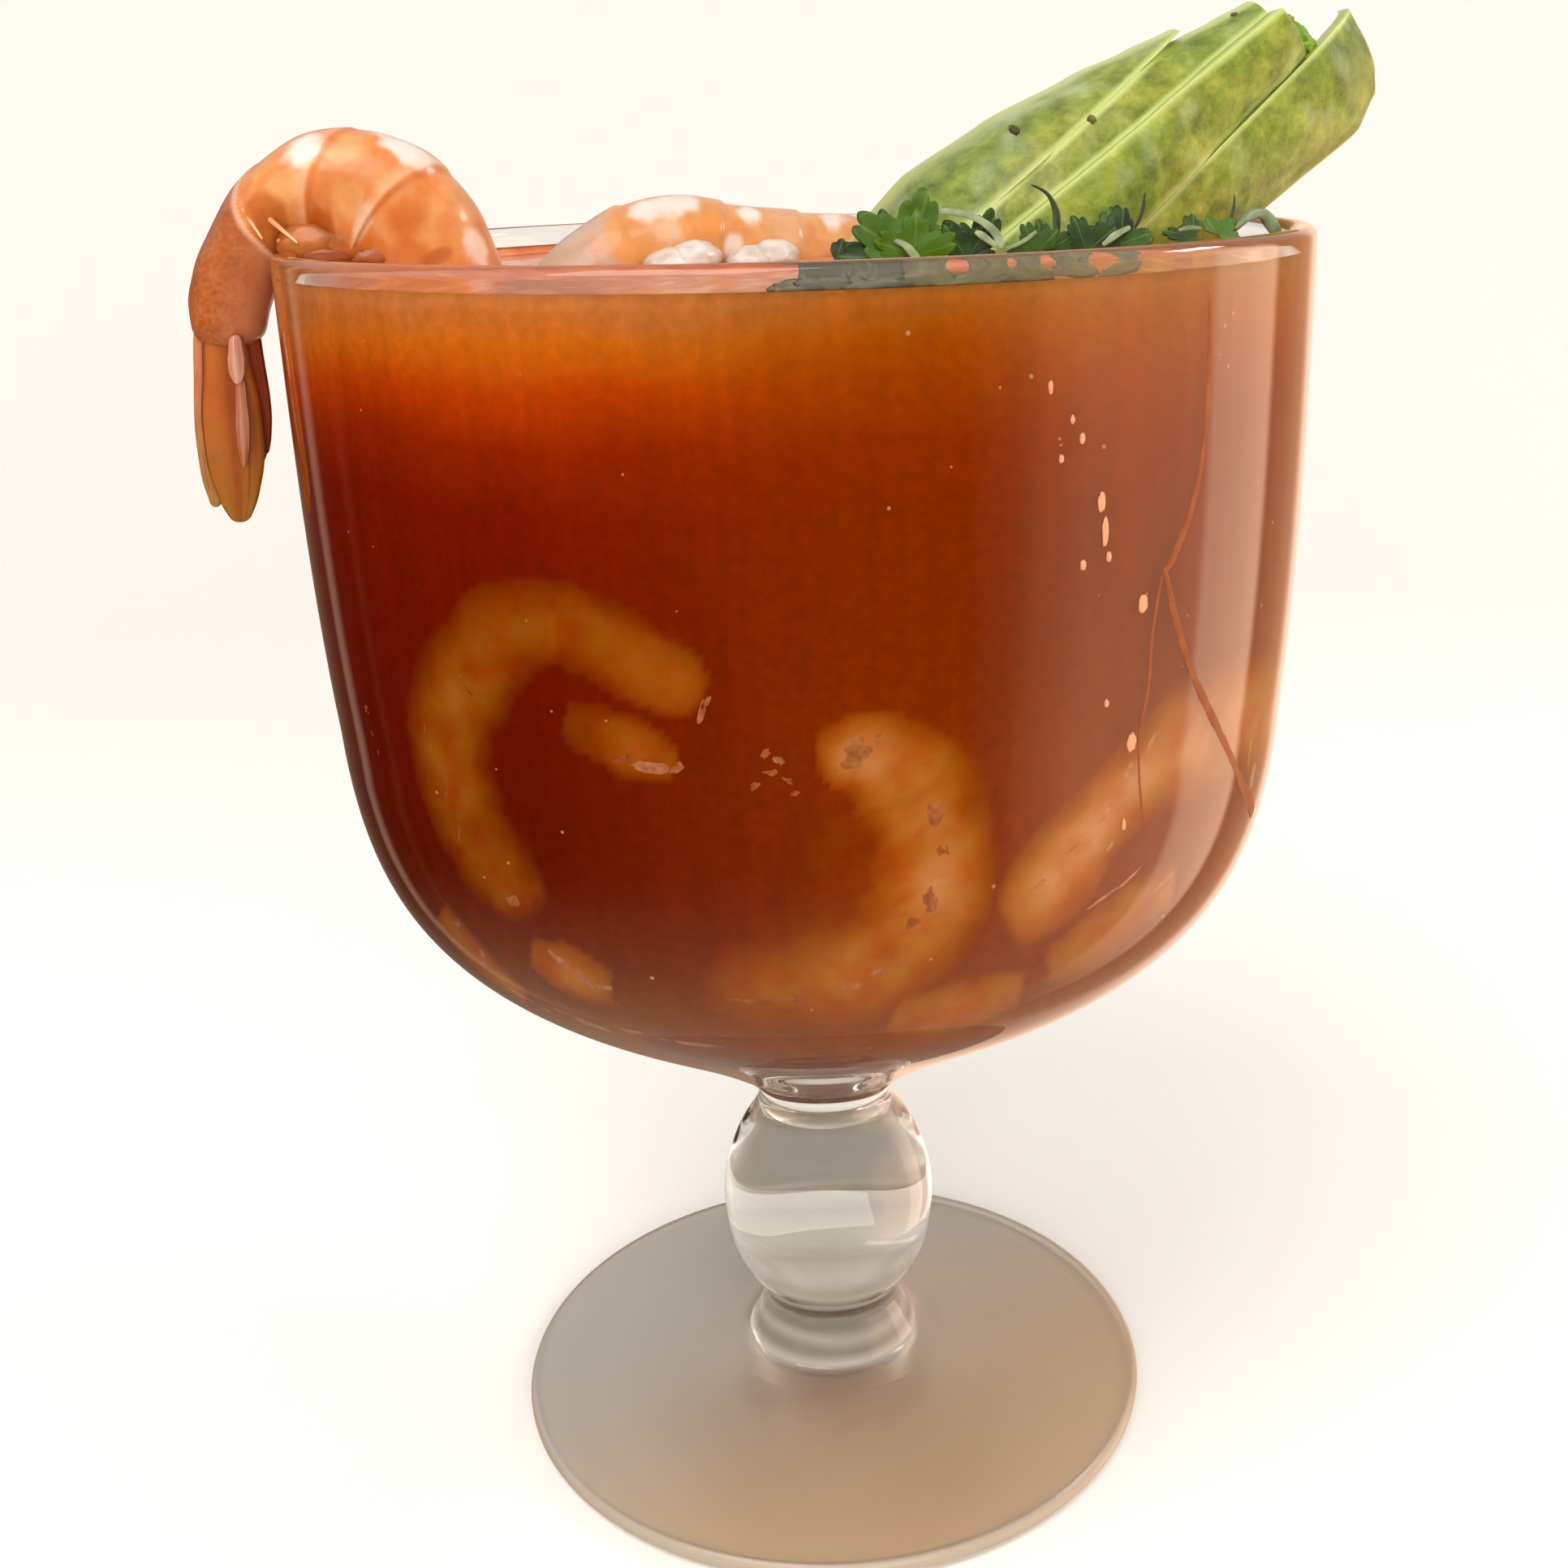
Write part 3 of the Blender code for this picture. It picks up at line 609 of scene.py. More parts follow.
def makeMiddleShrimp(material):
    angle = math.radians(middleShrimp["turn"])
    along = Vector((math.cos(angle), math.sin(angle), 0.0))
    side = along.cross(up)
    start = Vector((*middleShrimp["start"], 0.0))
    stations = [(*(start + along * run + up * height), depth, width)
                for run, height, depth, width in middleShrimp["body"]]

    def colourAt(around, position, place):
        grain = noise.noise(place * 0.35) * 0.5 + noise.noise(place * 1.1) * 0.3
        colour = mixed(srgb(shrimpLook["orange"]), srgb(shrimpLook["pale"]), 0.75 + grain)
        return spotted(colour, middleShrimp["spots"], around, position)

    def relief(around, position):
        turned = 2 * math.pi * around
        lump = noise.noise(Vector((math.cos(turned) * 1.4, math.sin(turned) * 1.4, position * 12)))
        return plates(around, position) * (1 + 0.05 * lump)

    plates = plateRelief(middleShrimp["plates"], 0.06)
    bm, layer = newMesh()
    addTube(bm, stations, side, 96, 260, 0.06, relief, colourAt, layer)
    addPiece("shrimpMiddle", bm, [material], ["shrimp_middle"])

    bm, layer = newMesh()
    frame = (Vector((1, 0, 0)), Vector((0, 1, 0)), up)
    for seed, (place, sizes) in enumerate(middleShrimp["folds"]):
        addLump(bm, layer, place, frame, sizes, srgb(shrimpLook["white"]), seed, 0.08)
    addPiece("shrimpMiddleFolds", bm, [material])


# shrimps under the sauce, lying against the wall:
# azimuth, height, half width and how deep their skin lies behind the glass
sunkenShrimps = {
    "sunkenShrimpLeft": ((-100.6, 113.8, 3.4, 0.5), (-106.6, 117.1, 3.9, 1.2), (-111.2, 119.6, 4.0, 1.6),
                         (-115.9, 120.4, 4.2, 1.6), (-120.7, 119.4, 4.6, 1.4), (-123.8, 117.0, 5.0, 1.4),
                         (-127.4, 113.2, 5.5, 1.3), (-130.6, 108.4, 5.8, 1.2), (-131.4, 103.4, 5.9, 1.3),
                         (-130.5, 99.1, 5.8, 1.4), (-128.1, 95.3, 5.5, 1.5), (-125.2, 91.8, 4.8, 1.5),
                         (-123.4, 89.1, 3.4, 1.2)),
    "sunkenShrimpCurl": ((-115.1, 111.1, 2.0, 2.6), (-111.4, 110.0, 2.9, 1.8), (-108.2, 108.9, 3.1, 1.0),
                         (-105.4, 107.8, 2.4, 1.2), (-103.6, 107.0, 1.2, 1.6)),
    "sunkenShrimpCentre": ((-89.6, 107.9, 3.0, 0.6), (-86.0, 108.1, 4.2, 0.3), (-82.8, 107.0, 5.2, 0.4),
                           (-80.2, 104.2, 5.8, 0.7), (-78.7, 100.7, 5.9, 0.6), (-78.2, 96.6, 6.0, 0.4),
                           (-78.9, 92.1, 6.2, 0.4), (-81.1, 88.1, 6.4, 0.7), (-84.9, 85.3, 6.5, 0.9),
                           (-89.9, 83.8, 6.3, 1.1), (-96.1, 83.2, 5.7, 1.6), (-101.2, 83.2, 4.6, 2.2),
                           (-103.6, 83.4, 2.4, 2.8)),
    "sunkenShrimpInner": ((-88.0, 103.0, 4.0, 3.6), (-86.5, 98.0, 5.2, 3.0), (-87.0, 93.0, 5.4, 2.9),
                          (-91.0, 89.0, 5.4, 2.9), (-97.0, 88.0, 4.6, 3.4)),
    "sunkenShrimpRight": ((-70.1, 88.8, 3.4, 0.6), (-65.9, 91.0, 5.2, 0.4), (-62.1, 95.1, 4.8, 0.3),
                          (-57.2, 99.2, 4.7, 0.25), (-52.0, 101.9, 6.2, 0.3), (-45.1, 103.4, 8.2, 0.35),
                          (-34.5, 102.4, 9.4, 0.4), (-25.0, 101.0, 7.0, 0.7), (-18.0, 100.0, 3.5, 1.2)),
    "sunkenShrimpRightLow": ((-63.3, 82.0, 2.6, 1.1), (-57.6, 83.8, 4.1, 0.9), (-52.1, 86.1, 3.8, 0.9),
                             (-45.1, 87.3, 2.8, 1.1)),
    "sunkenShrimpBottom": ((-82.0, 79.3, 2.7, 1.2), (-76.4, 78.5, 4.1, 0.9), (-70.7, 79.2, 4.0, 0.9),
                           (-65.6, 79.7, 2.6, 1.2)),
    "sunkenShrimpLowLeft": ((-140.0, 85.5, 2.6, 1.5), (-137.4, 82.6, 3.2, 1.2), (-134.6, 79.4, 3.2, 1.2),
                            (-131.0, 76.8, 2.4, 1.5)),
    "sunkenShrimpLowMiddle": ((-124.6, 84.6, 1.8, 1.6), (-121.7, 83.4, 3.4, 0.9),
                              (-118.3, 82.6, 3.6, 0.9), (-114.5, 81.8, 2.3, 1.6)),
}
sunkenFlatness = 0.6  # half depth of a body against half its width

# bits of shrimp flesh pressed against the glass:
# azimuth, height, half length, half width, turn from level, how far they reach into the wall, colour
shreds = (
    (-106.5, 107.2, 3.2, 1.5, -6, 0.38, "#A87858"), (-103.6, 107.0, 1.5, 0.7, 42, 0.36, "#A06A48"),
    (-109.3, 107.6, 1.6, 0.8, 20, 0.34, "#96582E"), (-100.5, 113.0, 2.3, 0.8, 66, 0.34, "#A06C4A"),
    (-128.6, 114.3, 1.9, 0.4, -28, 0.33, "#8A5230"), (-126.6, 112.6, 1.4, 0.3, -50, 0.32, "#804620"),
    (-134.4, 107.9, 1.8, 0.5, 82, 0.33, "#8C5A36"), (-132.6, 101.3, 3.0, 0.5, 84, 0.33, "#845028"),
    (-131.3, 97.1, 2.6, 0.4, 68, 0.33, "#8C5834"), (-125.0, 90.4, 1.5, 1.0, 10, 0.34, "#8C5C38"),
    (-146.9, 106.9, 1.0, 0.8, 40, 0.36, "#7C3E12"), (-146.6, 104.4, 0.6, 0.5, 0, 0.36, "#8A4A1C"),
    (-145.9, 102.4, 0.5, 0.4, 0, 0.36, "#7C4420"),
    (-137.4, 84.4, 2.6, 1.3, 58, 0.36, "#80503A"), (-134.6, 81.2, 2.6, 1.2, 50, 0.36, "#855A44"),
    (-120.9, 84.6, 2.2, 0.9, -44, 0.38, "#A0765C"), (-118.3, 82.8, 2.8, 1.2, -38, 0.38, "#9A6C52"),
    (-115.6, 81.8, 1.3, 0.6, -8, 0.38, "#A07A62"),
    (-131.0, 76.6, 3.6, 0.9, -36, 0.36, "#8A6A56"), (-123.0, 75.6, 4.4, 1.1, -24, 0.36, "#7E5846"),
    (-114.0, 75.4, 4.4, 1.1, -12, 0.36, "#86604C"), (-106.0, 74.6, 4.0, 1.0, -5, 0.36, "#8A6450"),
    (-109.2, 77.3, 0.7, 0.4, 10, 0.40, "#3A1C08"),
    (-86.2, 108.4, 2.9, 2.3, 6, 0.37, "#A87846"), (-83.7, 110.1, 1.4, 1.2, 40, 0.36, "#A8784C"),
    (-88.4, 106.4, 1.4, 0.9, 15, 0.36, "#9C6836"),
    (-78.2, 101.2, 1.4, 2.6, 0, 0.36, "#A87044"), (-77.2, 97.8, 1.1, 1.8, 0, 0.35, "#A26838"),
    (-78.4, 92.4, 1.4, 2.3, 8, 0.36, "#A47048"), (-80.4, 90.2, 1.2, 1.2, 0, 0.35, "#9C6436"),
    (-87.2, 83.5, 2.8, 1.1, 16, 0.37, "#94623C"), (-84.0, 84.8, 1.4, 0.8, 35, 0.36, "#9C6C48"),
    (-97.4, 81.4, 3.8, 0.9, -6, 0.36, "#7E4A20"), (-92.6, 82.0, 1.8, 0.7, 0, 0.36, "#8A5630"),
    (-94.7, 108.6, 0.9, 0.5, 50, 0.40, "#9A6638"), (-93.4, 107.9, 0.8, 0.5, -20, 0.40, "#A4744A"),
    (-94.3, 106.7, 0.9, 0.5, 10, 0.40, "#94602E"), (-95.8, 105.4, 1.0, 0.5, 35, 0.40, "#9A683A"),
    (-92.6, 105.9, 0.8, 0.4, -35, 0.40, "#8C5628"), (-91.9, 104.6, 0.7, 0.4, 20, 0.40, "#8C5426"),
    (-66.0, 92.6, 1.8, 0.6, 40, 0.35, "#B0703E"), (-62.0, 96.0, 1.5, 0.5, 45, 0.36, "#B67C4C"),
    (-58.2, 98.6, 2.2, 0.6, 55, 0.37, "#BE8A60"), (-55.6, 102.4, 1.6, 0.5, 70, 0.37, "#C49A78"),
    (-52.6, 104.6, 2.0, 0.6, 60, 0.36, "#BC8658"), (-57.4, 94.6, 1.2, 0.4, 50, 0.36, "#B47E54"),
    (-57.6, 88.9, 3.0, 0.3, 24, 0.37, "#BE8E6C"), (-53.6, 90.4, 2.4, 0.3, 30, 0.37, "#BA845C"),
    (-29.0, 94.4, 1.4, 3.4, 0, 0.38, "#B08A5C"), (-31.5, 98.4, 1.2, 2.4, 10, 0.36, "#AE7C46"),
    (-48.0, 88.0, 3.2, 0.5, 26, 0.35, "#A87250"),
)
stain = ("#A8480C", 0.35)  # colour of the sauce that soaks into the shreds, and how much
shredPaintedLight = 0.75  # painted light: the shreds glow in their own colour for the light that the clear wall carries into what is pressed against it
wallProfile = innerSide(goblet["wall"])
outerProfile = bowlSide()


def wallRadius(height, profile=wallProfile):
    for (lowRadius, low), (highRadius, high) in zip(profile, profile[1:]):
        if height <= high:
            part = (height - low) / (high - low)
            return lowRadius + (highRadius - lowRadius) * part
    return profile[-1][0]


def wallPlace(azimuth, height, depth, profile=wallProfile):
    # a point depth millimetres behind the wall's face, measured square to it
    reach = 0.5
    slope = (wallRadius(height + reach, profile) - wallRadius(height - reach, profile)) / (2 * reach)
    out = Vector((math.cos(azimuth), math.sin(azimuth), -slope)).normalized()
    radius = wallRadius(height, profile)
    return Vector((radius * math.cos(azimuth), radius * math.sin(azimuth), height)) - out * depth, out


def wallFrame(azimuth, height, turn):
    # directions of a flat thing's length, width and thickness when it lies on the wall
    out = wallPlace(azimuth, height, 0.0)[1]
    level = up.cross(out).normalized()
    upright = out.cross(level)
    angle = math.radians(turn)
    return (level * math.cos(angle) + upright * math.sin(angle),
            upright * math.cos(angle) - level * math.sin(angle), out)


def addShred(bm, layer, azimuth, height, halfLength, halfWidth, turn, reach, colour, seed):
    halfThickness = 0.28 + 0.25 * min(halfLength, halfWidth)
    place = wallPlace(math.radians(azimuth), height, halfThickness - reach)[0]
    frame = wallFrame(math.radians(azimuth), height, turn)
    soaked = mixed(srgb(colour), srgb(stain[0]), stain[1])
    addLump(bm, layer, place, frame, (halfLength, halfWidth, halfThickness), soaked, seed, 0.3)


def makeShreds():
    material, tree, shader = newMaterial("shrimp shreds against the glass", Roughness=0.8, IOR=1.4,
                                         Specular_IOR_Level=0.1, Emission_Strength=shredPaintedLight)
    pigment = painted(tree).outputs["Color"]
    tone = ramp(tree, noiseAt(tree, objectPlace(tree), 900.0, 3.0), (0.3, "#B89A80"), (0.65, "#FFFFFF"))
    colour = blend(tree, 0.8, pigment, tone, "MULTIPLY")
    finishShader(tree, shader, colour)
    # the shreds glow in their own colour: painted light
    tree.links.new(colour, shader.inputs["Emission Color"])
    bm, layer = newMesh()
    for seed, values in enumerate(shreds):
        addShred(bm, layer, *values, seed)
    addPiece("pressedShreds", bm, [material])


def layPath(line, depthOf, profile):
    # a tube's stations and sideways direction along the wall, from rows of azimuth, height,
    # half width and, for what lies behind the wall's face, how deep its skin lies
    stations = []
    outward = []
    for azimuth, height, width, *sink in line:
        depth = depthOf(width)
        behind = sink[0] + depth if sink else 0.0
        place, out = wallPlace(math.radians(azimuth), height, behind, profile)
        stations.append((*place, depth, width))
        outward.append(tuple(out))

    def sideAt(position):
        return heading(stations, position).cross(Vector(alongStations(outward, position))).normalized()

    return stations, sideAt


def makeSunkenShrimps(material):
    bodies = []
    for index, (name, outline) in enumerate(sunkenShrimps.items()):
        stations, sideAt = layPath(outline, lambda width: width * sunkenFlatness, wallProfile)
        count = max(1, len(outline) // 3)
        ragged = plateRelief(count, 0.04)

        def colourAt(around, position, place):
            grain = noise.noise(place * 0.3 + Vector((index * 7, 0, 0))) + 0.5 * noise.noise(place * 1.0)
            phase = (position * count + 0.3 * grain) % 1.0
            band = smooth(0.75, 0.95, phase) * (1 - smooth(0.95, 1.0, phase))
            flesh = mixed(srgb("#EFA45E"), srgb("#F8E0C4"), 0.55 + 0.9 * grain)
            return mixed(flesh, srgb("#FFF2E4"), 0.5 * band)

        def relief(around, position):
            angle = 2 * math.pi * around
            along = position * len(outline) * 1.3 + index * 5
            lump = noise.noise(Vector((math.cos(angle) * 1.5, math.sin(angle) * 1.5, along)))
            return ragged(around, position) * (1.0 + 0.10 * lump)

        bm, layer = newMesh()
        addTube(bm, stations, sideAt, 64, 10 * len(outline) + 30, 0.05, relief, colourAt, layer)
        tree = BVHTree.FromBMesh(bm)
        bm.faces.ensure_lookup_table()
        colours = [[vert[layer][:3] for vert in face.verts] for face in bm.faces]
        bodies.append((tree, colours))
        addPiece(name, bm, [material])
    return bodies


# thin runs of sauce down the outside of the bowl: azimuth, height, half width
runs = (
    ((-48.8, 148.2, 0.30), (-48.4, 141.0, 0.34), (-48.8, 133.5, 0.36), (-50.2, 128.0, 0.40),
     (-52.6, 123.6, 0.45), (-53.8, 122.4, 0.30)),
    ((-53.6, 122.8, 0.30), (-51.4, 116.8, 0.42), (-48.3, 111.2, 0.48), (-44.3, 106.0, 0.48),
     (-39.0, 100.2, 0.52), (-34.7, 95.7, 0.60), (-29.5, 91.5, 0.75), (-27.0, 89.4, 0.50)),
    ((-54.0, 122.2, 0.18), (-54.9, 116.7, 0.20), (-55.0, 111.0, 0.22), (-55.8, 106.8, 0.20),
     (-55.2, 101.6, 0.16), (-54.2, 97.0, 0.12)),
)
runThickness = 0.05
# drops of thin juice there, their pale colour a painted glint: azimuth, height, half width, half height
drops = ((-61.9, 130.2, 0.42, 0.9), (-61.4, 127.4, 0.34, 1.4), (-60.9, 125.0, 0.26, 0.5),
         (-56.4, 119.8, 0.55, 0.9), (-56.8, 105.9, 0.55, 1.0), (-63.8, 124.6, 0.30, 0.5),
         (-66.4, 134.6, 0.22, 0.4), (-64.2, 136.2, 0.26, 0.5), (-65.3, 138.0, 0.22, 0.4),
         (-67.6, 141.0, 0.20, 0.6), (-60.4, 110.6, 0.24, 0.4), (-57.0, 97.2, 0.24, 0.6))


def makeRuns():
    film, tree, shader = newMaterial("thin film of sauce", Roughness=0.45, IOR=1.36,
                                     Specular_IOR_Level=0.25)
    pulp = noiseAt(tree, objectPlace(tree), 500.0, 2.0)
    finishShader(tree, shader, ramp(tree, pulp, (0.3, "#7C3A18"), (0.7, "#8C4C26")))
    bm, layer = newMesh()
    for line in runs:
        stations, sideAt = layPath(line, lambda width: runThickness, outerProfile)
        addTube(bm, stations, sideAt, 16, 30 * len(line), 0.04,
                lambda around, position: 1.0 + 0.3 * noise.noise(Vector((position * 25, line[0][0], 0))),
                lambda *where: (0.4, 0.1, 0.02), layer)
    addPiece("sauceRuns", bm, [film])

    # the drops are pale so that they read as glints on the glass: painted highlights
    juice = newMaterial("thin juice drops, pale as painted glints", Roughness=0.12, IOR=1.33,
                        Base_Color=(*srgb("#C98A66"), 1.0))[0]
    bm, layer = newMesh()
    for seed, (azimuth, height, halfWidth, halfHeight) in enumerate(drops):
        place, out = wallPlace(math.radians(azimuth), height, 0.0, outerProfile)
        level = up.cross(out).normalized()
        addLump(bm, layer, place, (level, out.cross(level), out), (halfWidth, halfHeight, 0.3),
                (1, 1, 1), seed, 0.2)
    addPiece("juiceDropsPaintedGlints", bm, [juice])


# tomato cocktail sauce: thick, cloudy and wet; light from above soaks into its top, painted into its
# colour by height
sauce = {
    "overlap": 0.3,              # how far it reaches into the wall
    "around": 580,
    "rows": ((72.0, 1.5), (124.0, 0.7), (150.0, 1.7)),  # spacing of the mesh rows up to each height
    "topSteps": 16,
    "meniscusWidth": 2.5,
    "meniscusSteps": 8,
    "castStart": 0.6,            # how far outside the sauce the look inwards starts
    "castReach": 9.0,            # and how far it goes
    "fade": 3.0,                   # depth at which a shrimp's outline is lost to a third
    "dimming": (0.86, 0.50, 0.36), # daylight left at the wall for a shrimp that touches the glass
    "filter": (0.30, 0.52, 2.2),   # how fast red, green and blue are soaked up, per millimetre
    # colour by height against the wall: lighter towards the top as painted light from above; the right
    # side's tones are lighter through the middle as a painted reflection of bright windows
    "leftPaintedLightTones": ((0.50, "#8A4420"), (0.56, "#7A2A0A"), (0.62, "#741C02"), (0.72, "#7C1901"),
                  (0.80, "#851B01"), (0.87, "#8F1E01"), (0.91, "#A92B02"), (0.945, "#D44A02"),
                  (0.975, "#EA7A16"), (1.0, "#D88042")),
    "rightPaintedLightTones": ((0.50, "#A04A1C"), (0.56, "#963C0E"), (0.62, "#98380A"), (0.72, "#983A06"),
                   (0.80, "#963502"), (0.87, "#993501"), (0.91, "#A03801"), (0.945, "#AD4802"),
                   (0.975, "#B95C08"), (1.0, "#B96E28")),
}


def sauceMaterials():
    wall, tree, shader = newMaterial("tomato cocktail sauce against the glass", Roughness=0.6,
                                     Specular_IOR_Level=0.0)
    place = objectPlace(tree)
    axes = addNode(tree, "SeparateXYZ", None, {0: place})
    wobble = stretch(tree, noiseAt(tree, place, 38.0, 2.0), 0.0, 1.0, -0.004, 0.004)
    raised = calculate(tree, "ADD", axes.outputs["Z"], wobble)
    height = stretch(tree, raised, 0.0, (sauceLevel + meniscus) * mm)
    # painted light by height, left and right; the right side carries a painted reflection
    left = ramp(tree, height, *sauce["leftPaintedLightTones"])
    right = ramp(tree, height, *sauce["rightPaintedLightTones"])
    colour = blend(tree, soften(tree, axes.outputs["X"], -0.030, 0.016), left, right)
    grain = ramp(tree, noiseAt(tree, place, 900.0, 3.0), (0.35, 0.86), (0.65, 1.0))
    stretched = addNode(tree, "Mapping", None, {"Vector": place, "Scale": (420.0, 420.0, 22.0)})
    streaks = noiseAt(tree, stretched.outputs["Vector"], 1.0, 3.0)
    streaks = ramp(tree, streaks, (0.36, 0.88), (0.62, 1.0), (0.72, 1.0))
    seen = painted(tree, "seen")
    clear = calculate(tree, "SUBTRACT", 1.0, seen.outputs["Alpha"])
    for darker in (grain, streaks, clear):
        colour = blend(tree, 1.0, colour, darker, "MULTIPLY")
    finishShader(tree, shader, blend(tree, 1.0, colour, seen.outputs["Color"], "ADD"))

    top, tree, shader = newMaterial("tomato cocktail sauce, wet surface", Roughness=0.16, IOR=1.36,
                                    Coat_Weight=0.3, Coat_Roughness=0.05)
    pulp = noiseAt(tree, objectPlace(tree), 330.0, 5.0)
    tone = ramp(tree, pulp, (0.3, "#B4470C"), (0.55, "#CC6116"), (0.75, "#DB7B2C"))
    finishShader(tree, shader, tone, pulp, 0.3, 0.0006)
    return wall, top


def skinSeen(vert, bodies):
    # colour and cover of the nearest body straight behind a point of the wall
    found = (0.0, 0.0, 0.0, 0.0)
    nearest = sauce["castReach"]
    start = vert.co + vert.normal * sauce["castStart"]
    for tree, colours in bodies:
        place, faceNormal, index, distance = tree.ray_cast(start, -vert.normal, sauce["castReach"])
        if place is None:
            continue
        depth = max(0.0, distance - sauce["castStart"] - sauce["overlap"])
        if depth < nearest:
            nearest = depth
            corner = colours[index]
            flesh = [sum(c[axis] for c in corner) / len(corner) for axis in range(3)]
            cover = math.exp(-depth / sauce["fade"])
            found = (*(value * left * math.exp(-depth * soak) * cover
                       for value, left, soak in zip(flesh, sauce["dimming"], sauce["filter"])), cover)
    return found


def sauceOutline(edge):
    # from the middle of the floor up the wall, over the meniscus and back to the middle
    side = [point for point in innerSide(goblet["wall"] - sauce["overlap"])
            if point[1] < sauceLevel - sauce["meniscusWidth"]]
    points = []
    for (radiusA, heightA), (radiusB, heightB) in zip(side, side[1:]):
        spacing = next(gap for limit, gap in sauce["rows"] if heightA < limit)
        count = max(1, round(math.hypot(radiusB - radiusA, heightB - heightA) / spacing))
        points += [(radiusA + (radiusB - radiusA) * step / count,
                    heightA + (heightB - heightA) * step / count) for step in range(count)]
    lastRadius, lastHeight = side[-1]
    climb = sauceLevel + meniscus
    points += [(lastRadius + (edge - lastRadius) * part, lastHeight + (climb - lastHeight) * part)
               for part in (0.0, 0.25, 0.5, 0.75)]
    width, count = sauce["meniscusWidth"], sauce["meniscusSteps"]
    points += [(edge - width * step / count, sauceLevel + meniscus * (1 - step / count) ** 2.2)
               for step in range(count + 1)]
    inner, steps = edge - width, sauce["topSteps"]
    return points + [(inner * (1 - step / steps), sauceLevel) for step in range(1, steps + 1)]


def makeSauce(bodies):
    wall, top = sauceMaterials()
    edge = rimRadius - goblet["wall"] + sauce["overlap"]
    bm = spinOutline(sauceOutline(edge), sauce["around"])
    bmesh.ops.remove_doubles(bm, verts=bm.verts, dist=0.002)
    bmesh.ops.recalc_face_normals(bm, faces=bm.faces)
    layer = bm.verts.layers.float_color.new("seen")
    for vert in bm.verts:
        radius = math.hypot(vert.co.x, vert.co.y)
        if vert.co.z >= sauceLevel - 0.01 and radius < edge - 0.5:  # the open surface
            swell = noise.noise(Vector((vert.co.x * 0.09, vert.co.y * 0.09, 3.0)))
            ripple = noise.noise(Vector((vert.co.x * 0.35, vert.co.y * 0.35, 8.0)))
            calm = 1 - smooth(edge - 6, edge - 1, radius)
            vert.co.z += calm * (0.35 * swell + 0.15 * ripple)
            vert[layer] = (0, 0, 0, 0)
        else:
            vert[layer] = skinSeen(vert, bodies)
    for face in bm.faces:
        middle = face.calc_center_median()
        if middle.z > sauceLevel - 0.3 and math.hypot(middle.x, middle.y) < edge - 0.2:
            face.material_index = 1
    addPiece("sauceBody", bm, [wall, top], ["sauce"])


# avocado: peeled ripe flesh, green outside and yellow towards the stone
avocado = {
    "stemEnd": (54.4, 9.0, 173.4),
    "longAxis": (0.765, 0.03, 0.642),
    "across": (0.643, 0.0, -0.766),
    # distance from the stem end and half width
    "side": ((0.0, 4.6), (5.0, 6.0), (8.5, 6.9), (14.0, 8.6), (20.0, 10.6), (31.0, 13.5),
             (42.0, 15.2), (50.0, 14.4), (58.0, 11.2), (64.0, 6.6)),
    "pear": ((0.0, 3.4), (4.0, 4.4), (8.5, 5.6), (14.0, 8.4), (20.0, 11.0), (31.0, 13.2),
             (42.0, 15.0), (50.0, 14.3), (58.0, 11.2), (64.0, 6.6)),
    "broad": ((0.0, 5.6), (4.0, 6.6), (8.5, 7.2), (14.0, 8.4), (20.0, 11.0), (31.0, 13.2),
              (42.0, 15.0), (50.0, 14.3), (58.0, 11.2), (64.0, 6.6)),
    "blunt": ((0.0, 11.0), (0.8, 14.0), (2.5, 15.8), (7.0, 17.4), (18.0, 16.2), (32.0, 14.6),
              (44.0, 13.2), (52.0, 10.6), (58.0, 6.6)),
    "pit": (12.5, 40.0, 8.5),  # radius, distance from the stem end, depth
    # outline, then each cut's place and lean, how far the slice slid, was lifted and tilted,
    # roundness and thickness
    "slices": (("side", -16.0, -0.03, -6.2, -0.03, 0.0, 0.0, 0.0, 1.25, 40.0),
               ("pear", -5.9, -0.03, -1.45, -0.075, -0.2, 0.3, 0.0, 1.25, 40.0),
               ("broad", -1.08, -0.075, 5.05, 0.01, 0.4, 1.2, 0.0, 1.25, 40.0),
               ("blunt", 5.3, 0.01, 20.0, 0.0, 8.9, -9.0, 0.42, 0.66, 4.0)),
    "press": 0.15,  # how far each cut side gives where the slices touch
    "edgeFlesh": 1.6,
    "leastWidth": 0.6,
    "divisions": (110, 16, 8),
    "edgeRound": 0.4,
    # small marks on the flesh: place, half sizes, colour
    "marks": (((23.9, -8.0, 162.7), (0.7, 0.4, 0.35), "#4A4A1A"),
              ((57.2, 5.0, 172.3), (2.0, 1.0, 0.9), "#6F9A12"),
              ((56.1, 4.6, 173.6), (0.8, 0.7, 0.6), "#7C8A10"),
              ((58.6, 5.0, 170.9), (1.2, 0.9, 0.8), "#86A02A"),
              ((50.4, 4.5, 174.0), (0.8, 0.5, 0.5), "#5A4A1C"),
              ((32.0, -9.4, 163.6), (0.5, 0.4, 0.3), "#6A6A2A")),
}


def outlineWidth(outline, distance):
    for (near, widthNear), (far, widthFar) in zip(outline, outline[1:]):
        if distance <= far:
            part = max(0.0, (distance - near) / (far - near))
            ease = part * part * (3 - 2 * part) * 0.3 + part * 0.7
            return widthNear + (widthFar - widthNear) * ease
    return outline[-1][1]


def sliceSpan(cut, distance):
    outline, low, lowLean, high, highLean = avocado[cut[0]], *cut[1:5]
    limit = outlineWidth(outline, distance)
    press = avocado["press"]
    return max(low - press + lowLean * distance, -limit), min(high + press + highLean * distance, limit)


